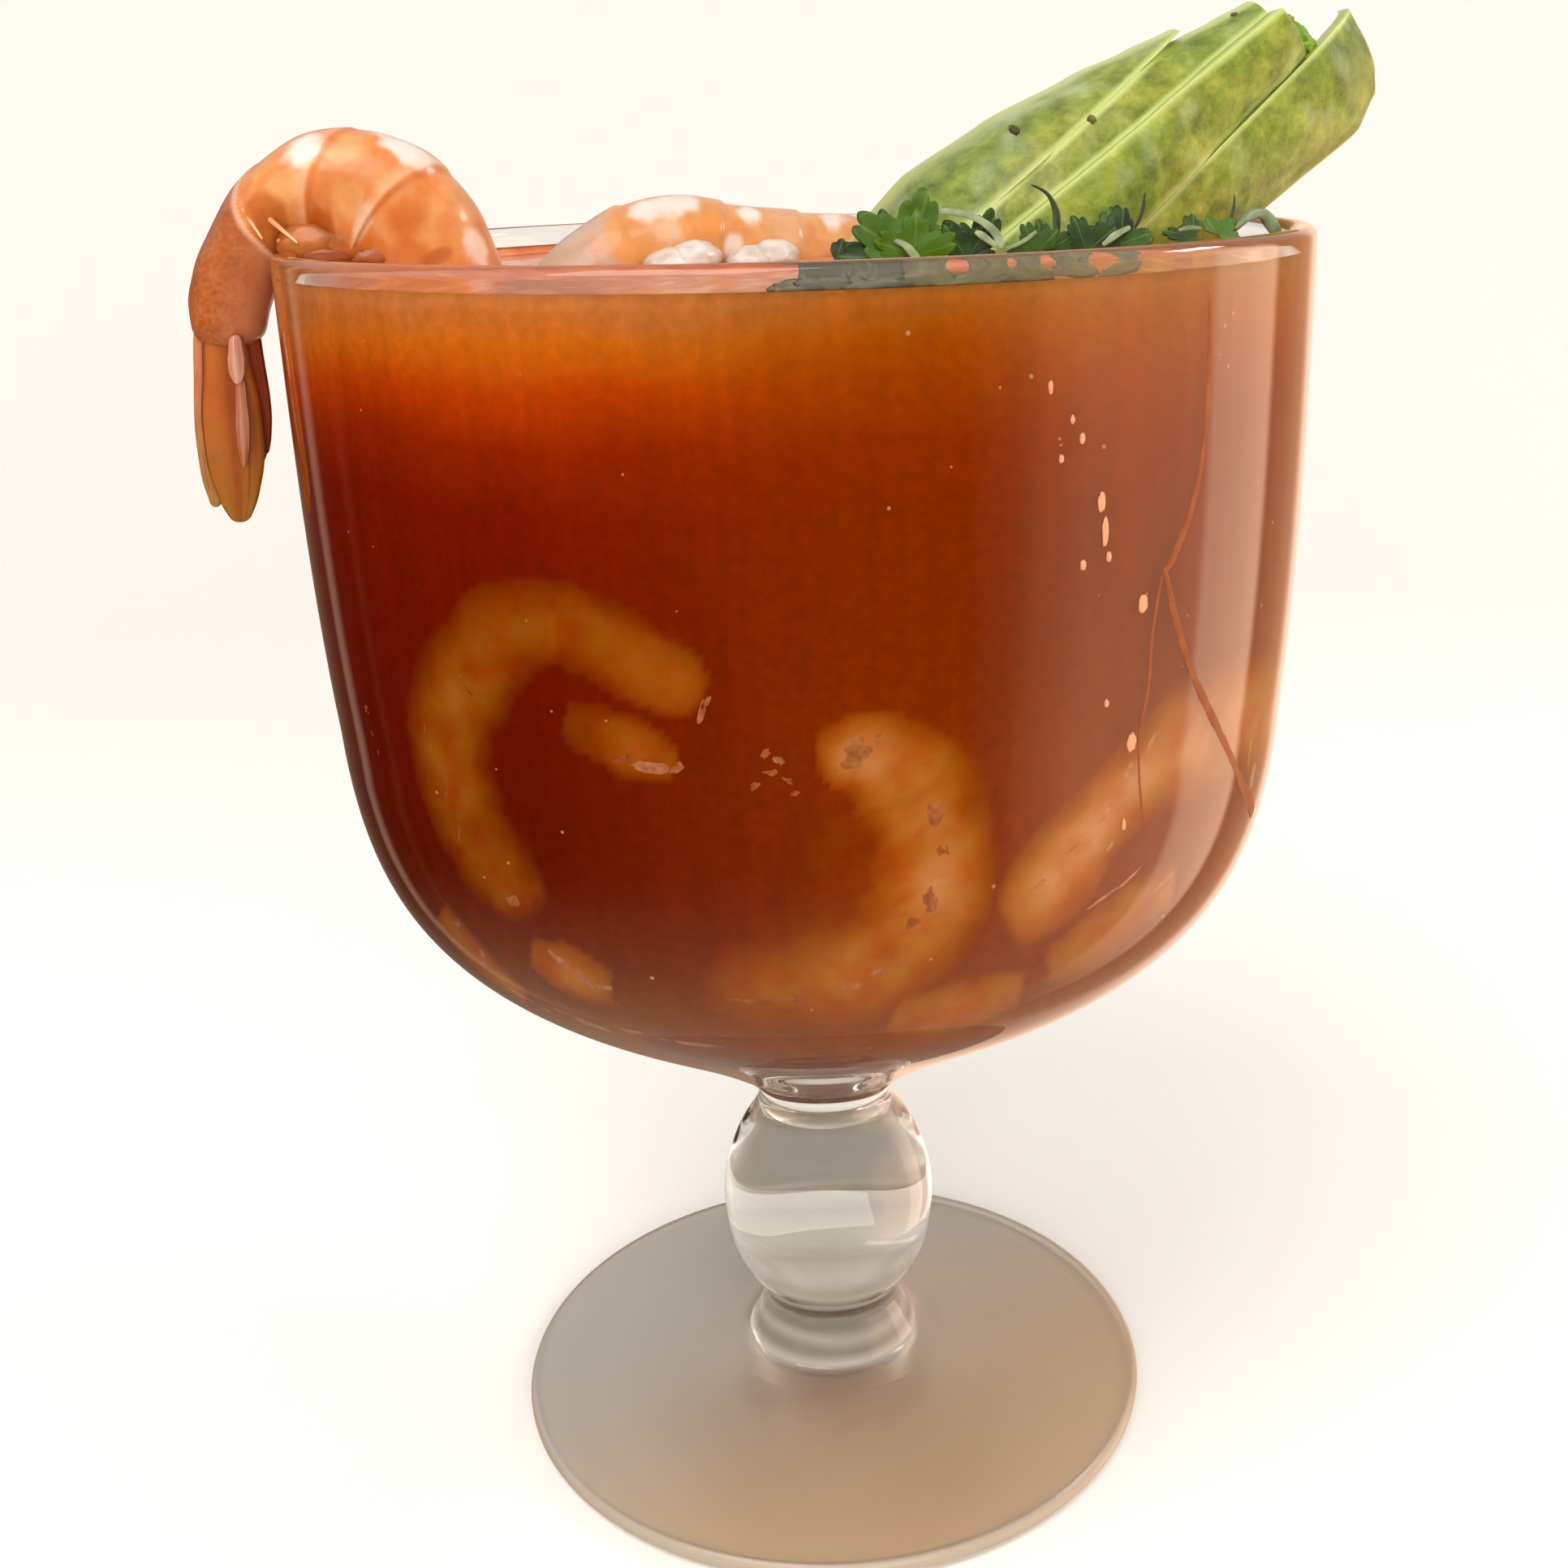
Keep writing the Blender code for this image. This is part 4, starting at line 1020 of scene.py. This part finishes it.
def slicePoint(cut, distance, widthPart, depthPart):
    low, high = sliceSpan(cut, distance)
    across = low + (high - low) * widthPart
    limit = outlineWidth(avocado[cut[0]], distance)
    lift, tilt, roundness, thickness = cut[6:]
    outer = roundness * math.sqrt(max(limit ** 2 - across ** 2, 0.0)) + avocado["edgeFlesh"]
    pitRadius, pitPlace, pitDepth = avocado["pit"]
    square = pitRadius ** 2 - (distance - pitPlace) ** 2 - across ** 2
    hollow = max(0.0, math.sqrt(max(square, 0.0)) - (pitRadius - pitDepth))
    inner = max(min(hollow, outer - avocado["edgeFlesh"]), outer - thickness)
    height = inner + (outer - inner) * depthPart + lift + tilt * distance
    return Vector((distance, across, height)), high - low


def avocadoMaterial():
    material, tree, shader = newMaterial(
        "ripe avocado flesh, knife cut", Roughness=0.42, IOR=1.42, Coat_Weight=0.12, Coat_Roughness=0.2,
        Subsurface_Weight=0.15, Subsurface_Radius=(0.8, 1.0, 0.3), Subsurface_Scale=0.0015)
    place = objectPlace(tree)
    zone = painted(tree, "zone")
    outside, edge, wet = addNode(tree, "SeparateColor", None, {0: zone.outputs["Color"]}).outputs
    mottle = noiseAt(tree, place, 330.0, 6.0, Roughness=0.7)
    skin = ramp(tree, mottle, (0.30, "#4A5812"), (0.41, "#66751E"), (0.52, "#7B8928"),
                (0.64, "#929A3A"), (0.78, "#B2B568"))
    ripening = ramp(tree, noiseAt(tree, place, 95.0, 3.0), (0.36, "#8FB04A"), (0.50, "#FFFFFF"),
                    (0.64, "#F2D9A0"))
    # pale painted sheen where the zone's third channel is high
    skin = blend(tree, wet, blend(tree, 0.55, skin, ripening, "MULTIPLY"), "#A6AE86")
    cut = ramp(tree, mottle, (0.30, "#929A42"), (0.70, "#AEB264"))
    colour = blend(tree, edge, blend(tree, outside, cut, skin), "#B2BC6C")
    finishShader(tree, shader, colour, noiseAt(tree, place, 650.0, 4.0), 0.45, 0.0006)
    return material


def makeSlices():
    material = avocadoMaterial()
    longAxis = Vector(avocado["longAxis"]).normalized()
    across = Vector(avocado["across"])
    across = (across - longAxis * across.dot(longAxis)).normalized()
    bulge = across.cross(longAxis)
    turn = Matrix((-longAxis, across, bulge)).transposed()
    for number, cut in enumerate(avocado["slices"]):
        slide = cut[5]
        reach = [avocado[cut[0]][-1][0] * step / 200 for step in range(201)]
        spans = [sliceSpan(cut, distance) for distance in reach]
        inside = [distance for distance, (low, high) in zip(reach, spans)
                  if high - low > avocado["leastWidth"]]
        bm = bmesh.new()
        bmesh.ops.create_cube(bm, size=1.0)
        for axis, count in enumerate(avocado["divisions"]):
            edges = [edge for edge in bm.edges
                     if abs(edge.verts[0].co[axis] - edge.verts[1].co[axis]) > 0.5]
            bmesh.ops.subdivide_edges(bm, edges=edges, cuts=count - 1, use_grid_fill=True)
        layer = bm.verts.layers.float_color.new("zone")
        place = Vector(avocado["stemEnd"]) + longAxis * slide
        corners = [edge for edge in bm.edges if edge.calc_face_angle(0.0) > 1.0]
        for vert in bm.verts:
            part = vert.co.x + 0.5
            part = part * part * (3.0 - 2.0 * part) * 0.6 + part * 0.4
            distance = inside[0] + (inside[-1] - inside[0]) * part
            widthPart, depthPart = vert.co.y + 0.5, vert.co.z + 0.5
            local, width = slicePoint(cut, distance, widthPart, depthPart)
            rim = min(widthPart, 1 - widthPart) * width
            outside = smooth(0.55, 1.0, depthPart)
            sheen = noise.noise(local * 0.25 + Vector((3.0, number, 0)))
            # third channel: a pale painted sheen, a broad patch on the first slice and fainter mottled
            # sheen on all
            wet = 0.0
            if number == 0:
                wet = smooth(0.55, 0.1, abs(widthPart - 0.35)) * smooth(9, 3, abs(distance - 28))
            vert[layer] = (outside, (1 - smooth(0.1, 0.75, rim)) * smooth(0.5, 0.9, depthPart),
                           0.75 * wet * smooth(-0.3, 0.3, sheen) + 0.25 * smooth(0.25, 0.55, sheen), 1)
            bumpy = 0.35 * noise.noise(local * 0.16 + Vector((number * 5, 0, 0)))
            local.z += (bumpy + 0.12 * noise.noise(local * 0.6)) * depthPart
            vert.co = place + turn @ local
        bmesh.ops.recalc_face_normals(bm, faces=bm.faces)
        bmesh.ops.bevel(bm, geom=corners, offset=avocado["edgeRound"], affect="EDGES", segments=2,
                        profile=0.5, material=-1, clamp_overlap=True)
        for vert in bm.verts:  # pressed against the inside of the glass
            radius = math.hypot(vert.co.x, vert.co.y)
            limit = wallRadius(min(vert.co.z, rimHeight)) - 0.3
            if vert.co.z < rimHeight + 0.5 and radius > limit:
                vert.co.x *= limit / radius
                vert.co.y *= limit / radius
        addPiece(f"avocadoSlice{number + 1}", bm, [material],
                 [f"avocado_slice_{number + 1}"], 50)


# fresh cilantro: thin lobed leaves on pale stems; place, direction, facing, size, bend, shade
cilantro = {
    "leaves": (((11.6, -22.4, 150.6), (-0.80, 0.05, 0.55), (0.1, -1.0, 0.2), 7.6, 0.25, 0.65),
               ((12.0, -22.6, 150.8), (0.05, 0.0, 1.0), (0.0, -1.0, 0.1), 4.9, 0.3, 0.9),
               ((9.8, -21.6, 150.2), (-0.95, 0.0, 0.20), (0.0, -0.9, 0.5), 6.4, 0.4, 0.15),
               ((18.6, -21.4, 150.4), (-0.70, 0.05, 0.65), (0.1, -1.0, 0.3), 5.6, 0.3, 0.1),
               ((17.4, -21.8, 150.4), (0.55, 0.05, 0.70), (-0.1, -1.0, 0.3), 4.4, 0.3, 0.05),
               ((24.6, -21.6, 150.8), (-0.35, 0.0, 0.80), (0.0, -1.0, 0.4), 3.4, 0.4, 0.35),
               ((25.6, -20.4, 150.6), (0.75, 0.0, 0.45), (0.2, -0.9, 0.4), 3.8, 0.5, 0.2),
               ((30.0, -19.8, 150.6), (-0.30, 0.1, 0.90), (0.0, -1.0, 0.3), 4.2, 0.4, 0.1),
               ((33.0, -19.6, 150.8), (0.80, 0.1, 0.35), (-0.1, -0.9, 0.5), 4.8, 0.4, 0.3),
               ((33.6, -19.4, 151.4), (-0.75, 0.1, 0.35), (0.1, -0.9, 0.4), 4.2, 0.4, 0.0),
               ((41.6, -17.6, 151.4), (-0.70, 0.1, 0.30), (0.1, -0.8, 0.6), 3.4, 0.5, 0.2),
               ((44.6, -16.0, 151.6), (0.50, 0.1, 0.60), (-0.2, -0.9, 0.4), 2.8, 0.5, 0.8),
               ((4.0, -19.0, 150.2), (0.95, 0.0, 0.05), (0.1, -0.6, 0.8), 3.6, 0.3, 0.0)),
    # pale stalks and folded undersides: (x, y, z, half width) along each, and a shade
    "stems": ((((12.8, -20.6, 154.6, 0.30), (15.6, -20.9, 155.0, 0.55), (18.5, -21.4, 154.2, 0.60),
                (20.3, -22.0, 152.8, 0.75), (20.9, -22.6, 151.2, 0.55)), "pale"),
              (((9.9, -23.2, 152.4, 0.35), (11.0, -23.6, 151.9, 0.60), (11.9, -23.8, 150.9, 0.75),
                (12.2, -23.8, 150.2, 0.6)), "pale"),
              (((18.2, -22.6, 153.0, 0.35), (18.9, -22.8, 152.6, 0.6), (20.4, -22.8, 151.5, 0.5)),
               "pale"),
              (((21.4, -22.6, 151.2, 0.30), (23.2, -22.0, 151.9, 0.35), (24.6, -21.6, 152.8, 0.30)),
               "pale"),
              (((27.4, -19.8, 151.2, 0.5), (28.2, -19.6, 152.4, 0.8), (29.0, -19.4, 151.2, 0.5)), "pale"),
              (((31.6, -20.4, 151.2, 0.35), (33.0, -20.2, 152.2, 0.6), (34.6, -19.6, 152.9, 0.35)),
               "pale"),
              (((39.8, -18.6, 152.4, 0.2), (41.0, -18.4, 152.6, 0.4), (42.4, -18.0, 152.5, 0.2)), "pale"),
              (((24.6, -16.4, 157.3, 0.14), (26.2, -16.8, 156.4, 0.30), (27.1, -17.2, 154.8, 0.55),
                (27.2, -17.8, 153.0, 0.65), (26.8, -18.6, 151.2, 0.35)), "dark"),
              (((36.8, -15.4, 156.2, 0.12), (36.5, -15.8, 154.4, 0.35), (35.7, -16.4, 152.8, 0.30),
                (34.6, -17.0, 151.6, 0.2)), "dark"),
              (((46.9, -12.6, 155.6, 0.10), (46.8, -13.0, 154.2, 0.28), (46.2, -13.6, 152.8, 0.2)),
               "dark"),
              (((46.6, -14.8, 152.2, 0.25), (48.6, -12.6, 153.4, 0.85), (50.6, -10.4, 153.4, 1.15),
                (52.3, -9.6, 151.6, 1.20), (53.1, -9.4, 149.4, 0.85), (53.4, -9.4, 147.4, 0.15)),
               "grey")),
    # leaves lying flat against the inside of the wall above the sauce, olive and dark brown, standing in
    # for the cilantro seen through the lip as a painted view through the glass: azimuth, height, half
    # sizes, turn
    "pressed": ((-90.6, 150.2, 1.8, 0.6, 4, "olive"), (-87.0, 150.4, 2.7, 1.0, -6, "brown"),
                (-83.0, 150.2, 3.2, 1.2, 5, "brown"), (-78.4, 150.6, 2.6, 1.0, -12, "olive"),
                (-74.0, 150.3, 3.0, 0.9, 8, "olive"), (-69.0, 150.4, 2.6, 0.7, 0, "olive"),
                (-64.0, 150.6, 2.4, 0.6, -8, "olive"), (-58.5, 150.4, 2.2, 0.5, 6, "olive")),
    "thickness": 0.22,
    "stalkWidth": 0.62,
    "dark": "#142602",
    "light": "#3C5E04",
    "shades": {"pale": "#8E9C70", "dark": "#24360A", "olive": "#6A5E14", "brown": "#46400A",
               "grey": "#74855A"},
}


def cilantroMaterials():
    leaf, tree, shader = newMaterial("fresh cilantro leaf", Roughness=0.45, IOR=1.4)
    patch = noiseAt(tree, objectPlace(tree), 420.0, 3.0)
    lit = calculate(tree, "MULTIPLY_ADD", patch, 0.9, -0.25)
    level = calculate(tree, "ADD", lit, painted(tree, "shade").outputs["Fac"])
    tone = ramp(tree, level, (0.15, cilantro["dark"]), (0.95, cilantro["light"]))
    faint = calculate(tree, "MULTIPLY", painted(tree, "vein").outputs["Fac"], 0.35)
    finishShader(tree, shader, blend(tree, faint, tone, "#6F8F3C"), patch, 0.4, 0.0003)

    stem, tree, shader = newMaterial("cilantro stem", Roughness=0.4)
    tone = ramp(tree, noiseAt(tree, objectPlace(tree), 800.0, 2.0), (0.3, 0.72), (0.7, 1.0))
    pigment = painted(tree).outputs["Color"]
    finishShader(tree, shader, blend(tree, 1.0, pigment, tone, "MULTIPLY"))
    return leaf, stem


def leafReach(angle, seed):
    # a fan of three lobes with rounded teeth, angle from -1 to 1
    lobes = max(math.exp(-((angle - middle) / 0.25) ** 2) for middle in (-0.66, 0.0, 0.64))
    teeth = 1.0 - abs(2 * ((5.5 * angle + 0.37 * seed) % 1.0) - 1.0) ** 2
    uneven = 0.08 * noise.noise(Vector((angle * 3, seed * 2.3, 0)))
    return (0.50 + 0.42 * lobes + uneven) * (0.86 + 0.16 * teeth)


def addLeaf(bm, layers, root, direction, facing, size, bend, shade, seed):
    forward = Vector(direction).normalized()
    face = Vector(facing)
    face = (face - forward * face.dot(forward)).normalized()
    sideways = forward.cross(face)
    veinLayer, shadeLayer = layers
    for vert in bmesh.ops.create_grid(bm, x_segments=150, y_segments=10, size=0.5)["verts"]:
        angle = vert.co.x * 2
        radius = vert.co.y + 0.5
        reach = leafReach(angle, seed) * size * radius
        turn = angle * math.radians(105)
        ahead, beside = reach * math.cos(turn), reach * math.sin(turn)
        ribs = abs(math.sin(turn * 2.5))
        fold = 0.12 * abs(beside) - bend * ahead ** 2 / size * 0.6 - 0.35 * bend * beside ** 2 / size
        curl = 0.6 * noise.noise(Vector((ahead * 0.45, beside * 0.45, seed * 3.7)))
        vert.co = Vector(root) + forward * ahead + sideways * beside + face * (fold + curl * radius)
        vert[veinLayer] = 1 - smooth(0.0, 0.12, ribs)
        vert[shadeLayer] = shade


def makeCilantro():
    leafMaterial, stemMaterial = cilantroMaterials()
    bm = bmesh.new()
    layerNames = ("vein", "shade")
    for layerName in layerNames:
        bm.verts.layers.float.new(layerName)
    layers = [bm.verts.layers.float[layerName] for layerName in layerNames]
    for seed, values in enumerate(cilantro["leaves"]):
        addLeaf(bm, layers, *values, seed)
    piece = addPiece("cilantroLeaves", bm, [leafMaterial])
    thick = piece.modifiers.new("leaf thickness", "SOLIDIFY")
    thick.thickness = cilantro["thickness"] * mm
    thick.offset = 0.0
    bm, layer = newMesh()
    for points, shade in cilantro["stems"]:
        flatness = 0.30 if shade == "pale" else 0.5
        stations = [(x, y, z, width * flatness * cilantro["stalkWidth"], width * cilantro["stalkWidth"])
                    for x, y, z, width in points]
        colour = srgb(cilantro["shades"][shade])

        def side(position):
            return heading(stations, position).cross(Vector((0.1, -0.95, 0.3))).normalized()

        def stalk(around, position):
            return 1.0 + 0.15 * noise.noise(Vector((position * 6, stations[0][0], around)))

        def stalkColour(around, position, place):
            return mixed([0.6 * value for value in colour], colour, 0.6 + noise.noise(place * 0.8))

        addTube(bm, stations, side, 20, 60, 0.08, stalk, stalkColour, layer)
    thin = cilantro["thickness"]
    # olive and dark brown patches under the lip: a painted view of the cilantro through the glass
    for seed, (azimuth, height, halfLength, halfWidth, turn, shade) in enumerate(cilantro["pressed"]):
        place = wallPlace(math.radians(azimuth), height, thin + 0.15)[0]
        addLump(bm, layer, place, wallFrame(math.radians(azimuth), height, turn),
                (halfLength, halfWidth, thin), srgb(cilantro["shades"][shade]), seed, 0.45)
    addPiece("cilantroStems", bm, [stemMaterial])
    return stemMaterial


def makeMarks(material):
    bm, layer = newMesh()
    lean = Matrix.Rotation(math.radians(35), 3, "Y")
    frame = [lean @ axis for axis in (Vector((1, 0, 0)), up, Vector((0, -1, 0)))]
    for seed, (place, sizes, colour) in enumerate(avocado["marks"]):
        addLump(bm, layer, place, frame, sizes, srgb(colour), seed, 0.4)
    addPiece("avocadoMarks", bm, [material])


# air bubbles caught between sauce and glass
bubbles = {
    "count": 110,
    "least": 0.10,
    "most": 0.26,
    "start": 1.5,     # how far below the surface they begin
    "depth": 75,
    "crowding": 1.5,  # how much closer together they lie near the top
    "reach": 0.25,    # how far their middles lie in the wall
    "seed": 4,
}


def makeBubbles():
    chance = random.Random(bubbles["seed"])
    material = newMaterial("air bubble skin", Roughness=0.25, Base_Color=(*srgb("#D9935C"), 1.0))[0]
    bm = bmesh.new()
    for number in range(bubbles["count"]):
        azimuth = chance.uniform(0, 2 * math.pi)
        depth = bubbles["depth"] * chance.random() ** bubbles["crowding"]
        place = wallPlace(azimuth, sauceLevel - bubbles["start"] - depth, -bubbles["reach"])[0]
        size = chance.uniform(bubbles["least"], bubbles["most"])
        bmesh.ops.create_icosphere(bm, subdivisions=2, radius=size, matrix=Matrix.Translation(place))
    addPiece("airBubbles", bm, [material])


print("glass")
makeGoblet()
print("shrimps")
fleshy = shrimpMaterial()
makeRimShrimp(fleshy)
makeMiddleShrimp(fleshy)
bodies = makeSunkenShrimps(fleshy)
makeShreds()
print("sauce")
makeSauce(bodies)
makeBubbles()
makeRuns()
print("avocado")
makeSlices()
print("cilantro")
stemMaterial = makeCilantro()
makeMarks(stemMaterial)

# studio: a pale sweep, a soft sky and soft boxes; only reflections see the sky below the horizon
studio = {
    "floorColour": "#F2EFEA",
    "floorDrop": 0.0003,
    "sweep": 0.5,  # radius of the level floor and of the curve at its end, in metres
    "sweepTop": 0.9,
    "sweepSteps": 96,
    "sky": 0.72,
    # brightness of what the glass mirrors, by direction round from the front, 0.5 being straight ahead
    "windows": ((0.0, "#4B3C30"), (0.10, "#241A12"), (0.114, "#1A120C"), (0.121, "#55463A"),
                (0.127, "#55463A"), (0.136, "#100B07"), (0.166, "#060403"), (0.172, "#20160F"),
                (0.182, "#060403"), (0.596, "#060403"), (0.606, "#3E2D20"), (0.624, "#54402E"),
                (0.642, "#8A6A4C"), (0.675, "#B08A68"), (0.765, "#AC8468"), (0.774, "#D8B496"),
                (0.835, "#CCA688"), (0.842, "#74533A"), (0.90, "#7A5B42"), (0.92, "#9A806E"),
                (1.0, "#7B6858")),
    "windowStrength": 5.6,
    "lowTone": "#E0BE9C",
    # soft boxes: place, what they point at, width, height, watts, mirrored or not
    "boxes": {"keyBox": ((-0.25, -0.35, 0.75), (0.0, 0.0, 0.1), 0.5, 0.5, 3.0, True),
              "frontBox": ((0.12, -0.80, 0.36), (0.0, 0.0, 0.1), 0.7, 0.4, 4.5, False),
              "rimBox": ((0.66, 0.14, 0.57), (0.0, 0.0, 0.14), 0.22, 0.10, 1.2, True)},
    "camera": (0.0, -0.21458, 0.16143),
    "pitch": 0.332,
    "yaw": 0.0194,
    "roll": -0.0275,
    "lens": 41.62,
    "shift": (-0.0407, -0.0072),
}


def makeStage():
    drop, reach = studio["floorDrop"], studio["sweep"]
    profile = [(0.0, -drop), (reach, -drop)]
    for degrees in range(6, 91, 6):
        angle = math.radians(degrees)
        profile.append((reach + reach * math.sin(angle), reach - reach * math.cos(angle) - drop))
    profile.append((2 * reach, studio["sweepTop"]))
    material = newMaterial("matt pale sweep", Roughness=0.9, Specular_IOR_Level=0.1,
                           Base_Color=(*srgb(studio["floorColour"]), 1.0))[0]
    bm = spinOutline(profile, studio["sweepSteps"])
    bmesh.ops.remove_doubles(bm, verts=bm.verts, dist=0.00001)
    bmesh.ops.recalc_face_normals(bm, faces=bm.faces)
    mesh = bpy.data.meshes.new("stageSweep")
    bm.to_mesh(mesh)
    bm.free()
    mesh.shade_smooth()
    mesh.materials.append(material)
    floor = bpy.data.objects.new("stageSweep", mesh)
    bpy.context.scene.collection.objects.link(floor)
    floor.visible_glossy = False


def addSoftBox(name, place, target, width, height, watts, mirrored):
    light = bpy.data.lights.new(name, "AREA")
    light.shape = "RECTANGLE"
    light.size, light.size_y = width, height
    light.energy = watts
    lamp = bpy.data.objects.new(name, light)
    bpy.context.scene.collection.objects.link(lamp)
    lamp.location = place
    lamp.rotation_euler = (Vector(target) - Vector(place)).to_track_quat("-Z", "Y").to_euler()
    lamp.visible_camera = False
    lamp.visible_glossy = mirrored


def makeSky():
    world = bpy.data.worlds.new("soft sky")
    bpy.context.scene.world = world
    world.use_nodes = True
    tree = world.node_tree
    axes = addNode(tree, "SeparateXYZ", None, {0: addNode(tree, "TexCoord").outputs["Generated"]})
    front = calculate(tree, "MULTIPLY", axes.outputs["Y"], -1.0)
    azimuth = calculate(tree, "ARCTAN2", axes.outputs["X"], front)
    windows = ramp(tree, stretch(tree, azimuth, -math.pi, math.pi), *studio["windows"])
    lit = blend(tree, 1.0, windows, (studio["windowStrength"],) * 3 + (1.0,), "MULTIPLY",
                clamp_result=False)
    below = blend(tree, soften(tree, axes.outputs["Z"], -0.98, -0.45), studio["lowTone"], lit)
    high = soften(tree, axes.outputs["Z"], 0.05, 0.45)
    sky = blend(tree, high, below, (studio["sky"],) * 3 + (1.0,))
    tree.links.new(sky, tree.nodes["Background"].inputs["Color"])


def makeCamera():
    data = bpy.data.cameras.new("camera")
    camera = bpy.data.objects.new("camera", data)
    bpy.context.scene.collection.objects.link(camera)
    bpy.context.scene.camera = camera
    data.lens = studio["lens"]
    data.sensor_width = 36.0
    data.shift_x, data.shift_y = studio["shift"]
    data.clip_start = 0.01
    pitch, yaw, roll = studio["pitch"], studio["yaw"], studio["roll"]
    forward = Vector((math.sin(yaw) * math.cos(pitch), math.cos(yaw) * math.cos(pitch), -math.sin(pitch)))
    right = Vector((math.cos(yaw), -math.sin(yaw), 0.0))
    above = right.cross(forward)
    rolledRight = right * math.cos(roll) + above * math.sin(roll)
    rolledUp = above * math.cos(roll) - right * math.sin(roll)
    turn = Matrix((rolledRight, rolledUp, -forward)).transposed().to_4x4()
    camera.matrix_world = Matrix.Translation(studio["camera"]) @ turn


print("studio")
makeStage()
makeSky()
for name, values in studio["boxes"].items():
    addSoftBox(name, *values)
bpy.context.scene.view_settings.view_transform = "Standard"
makeCamera()
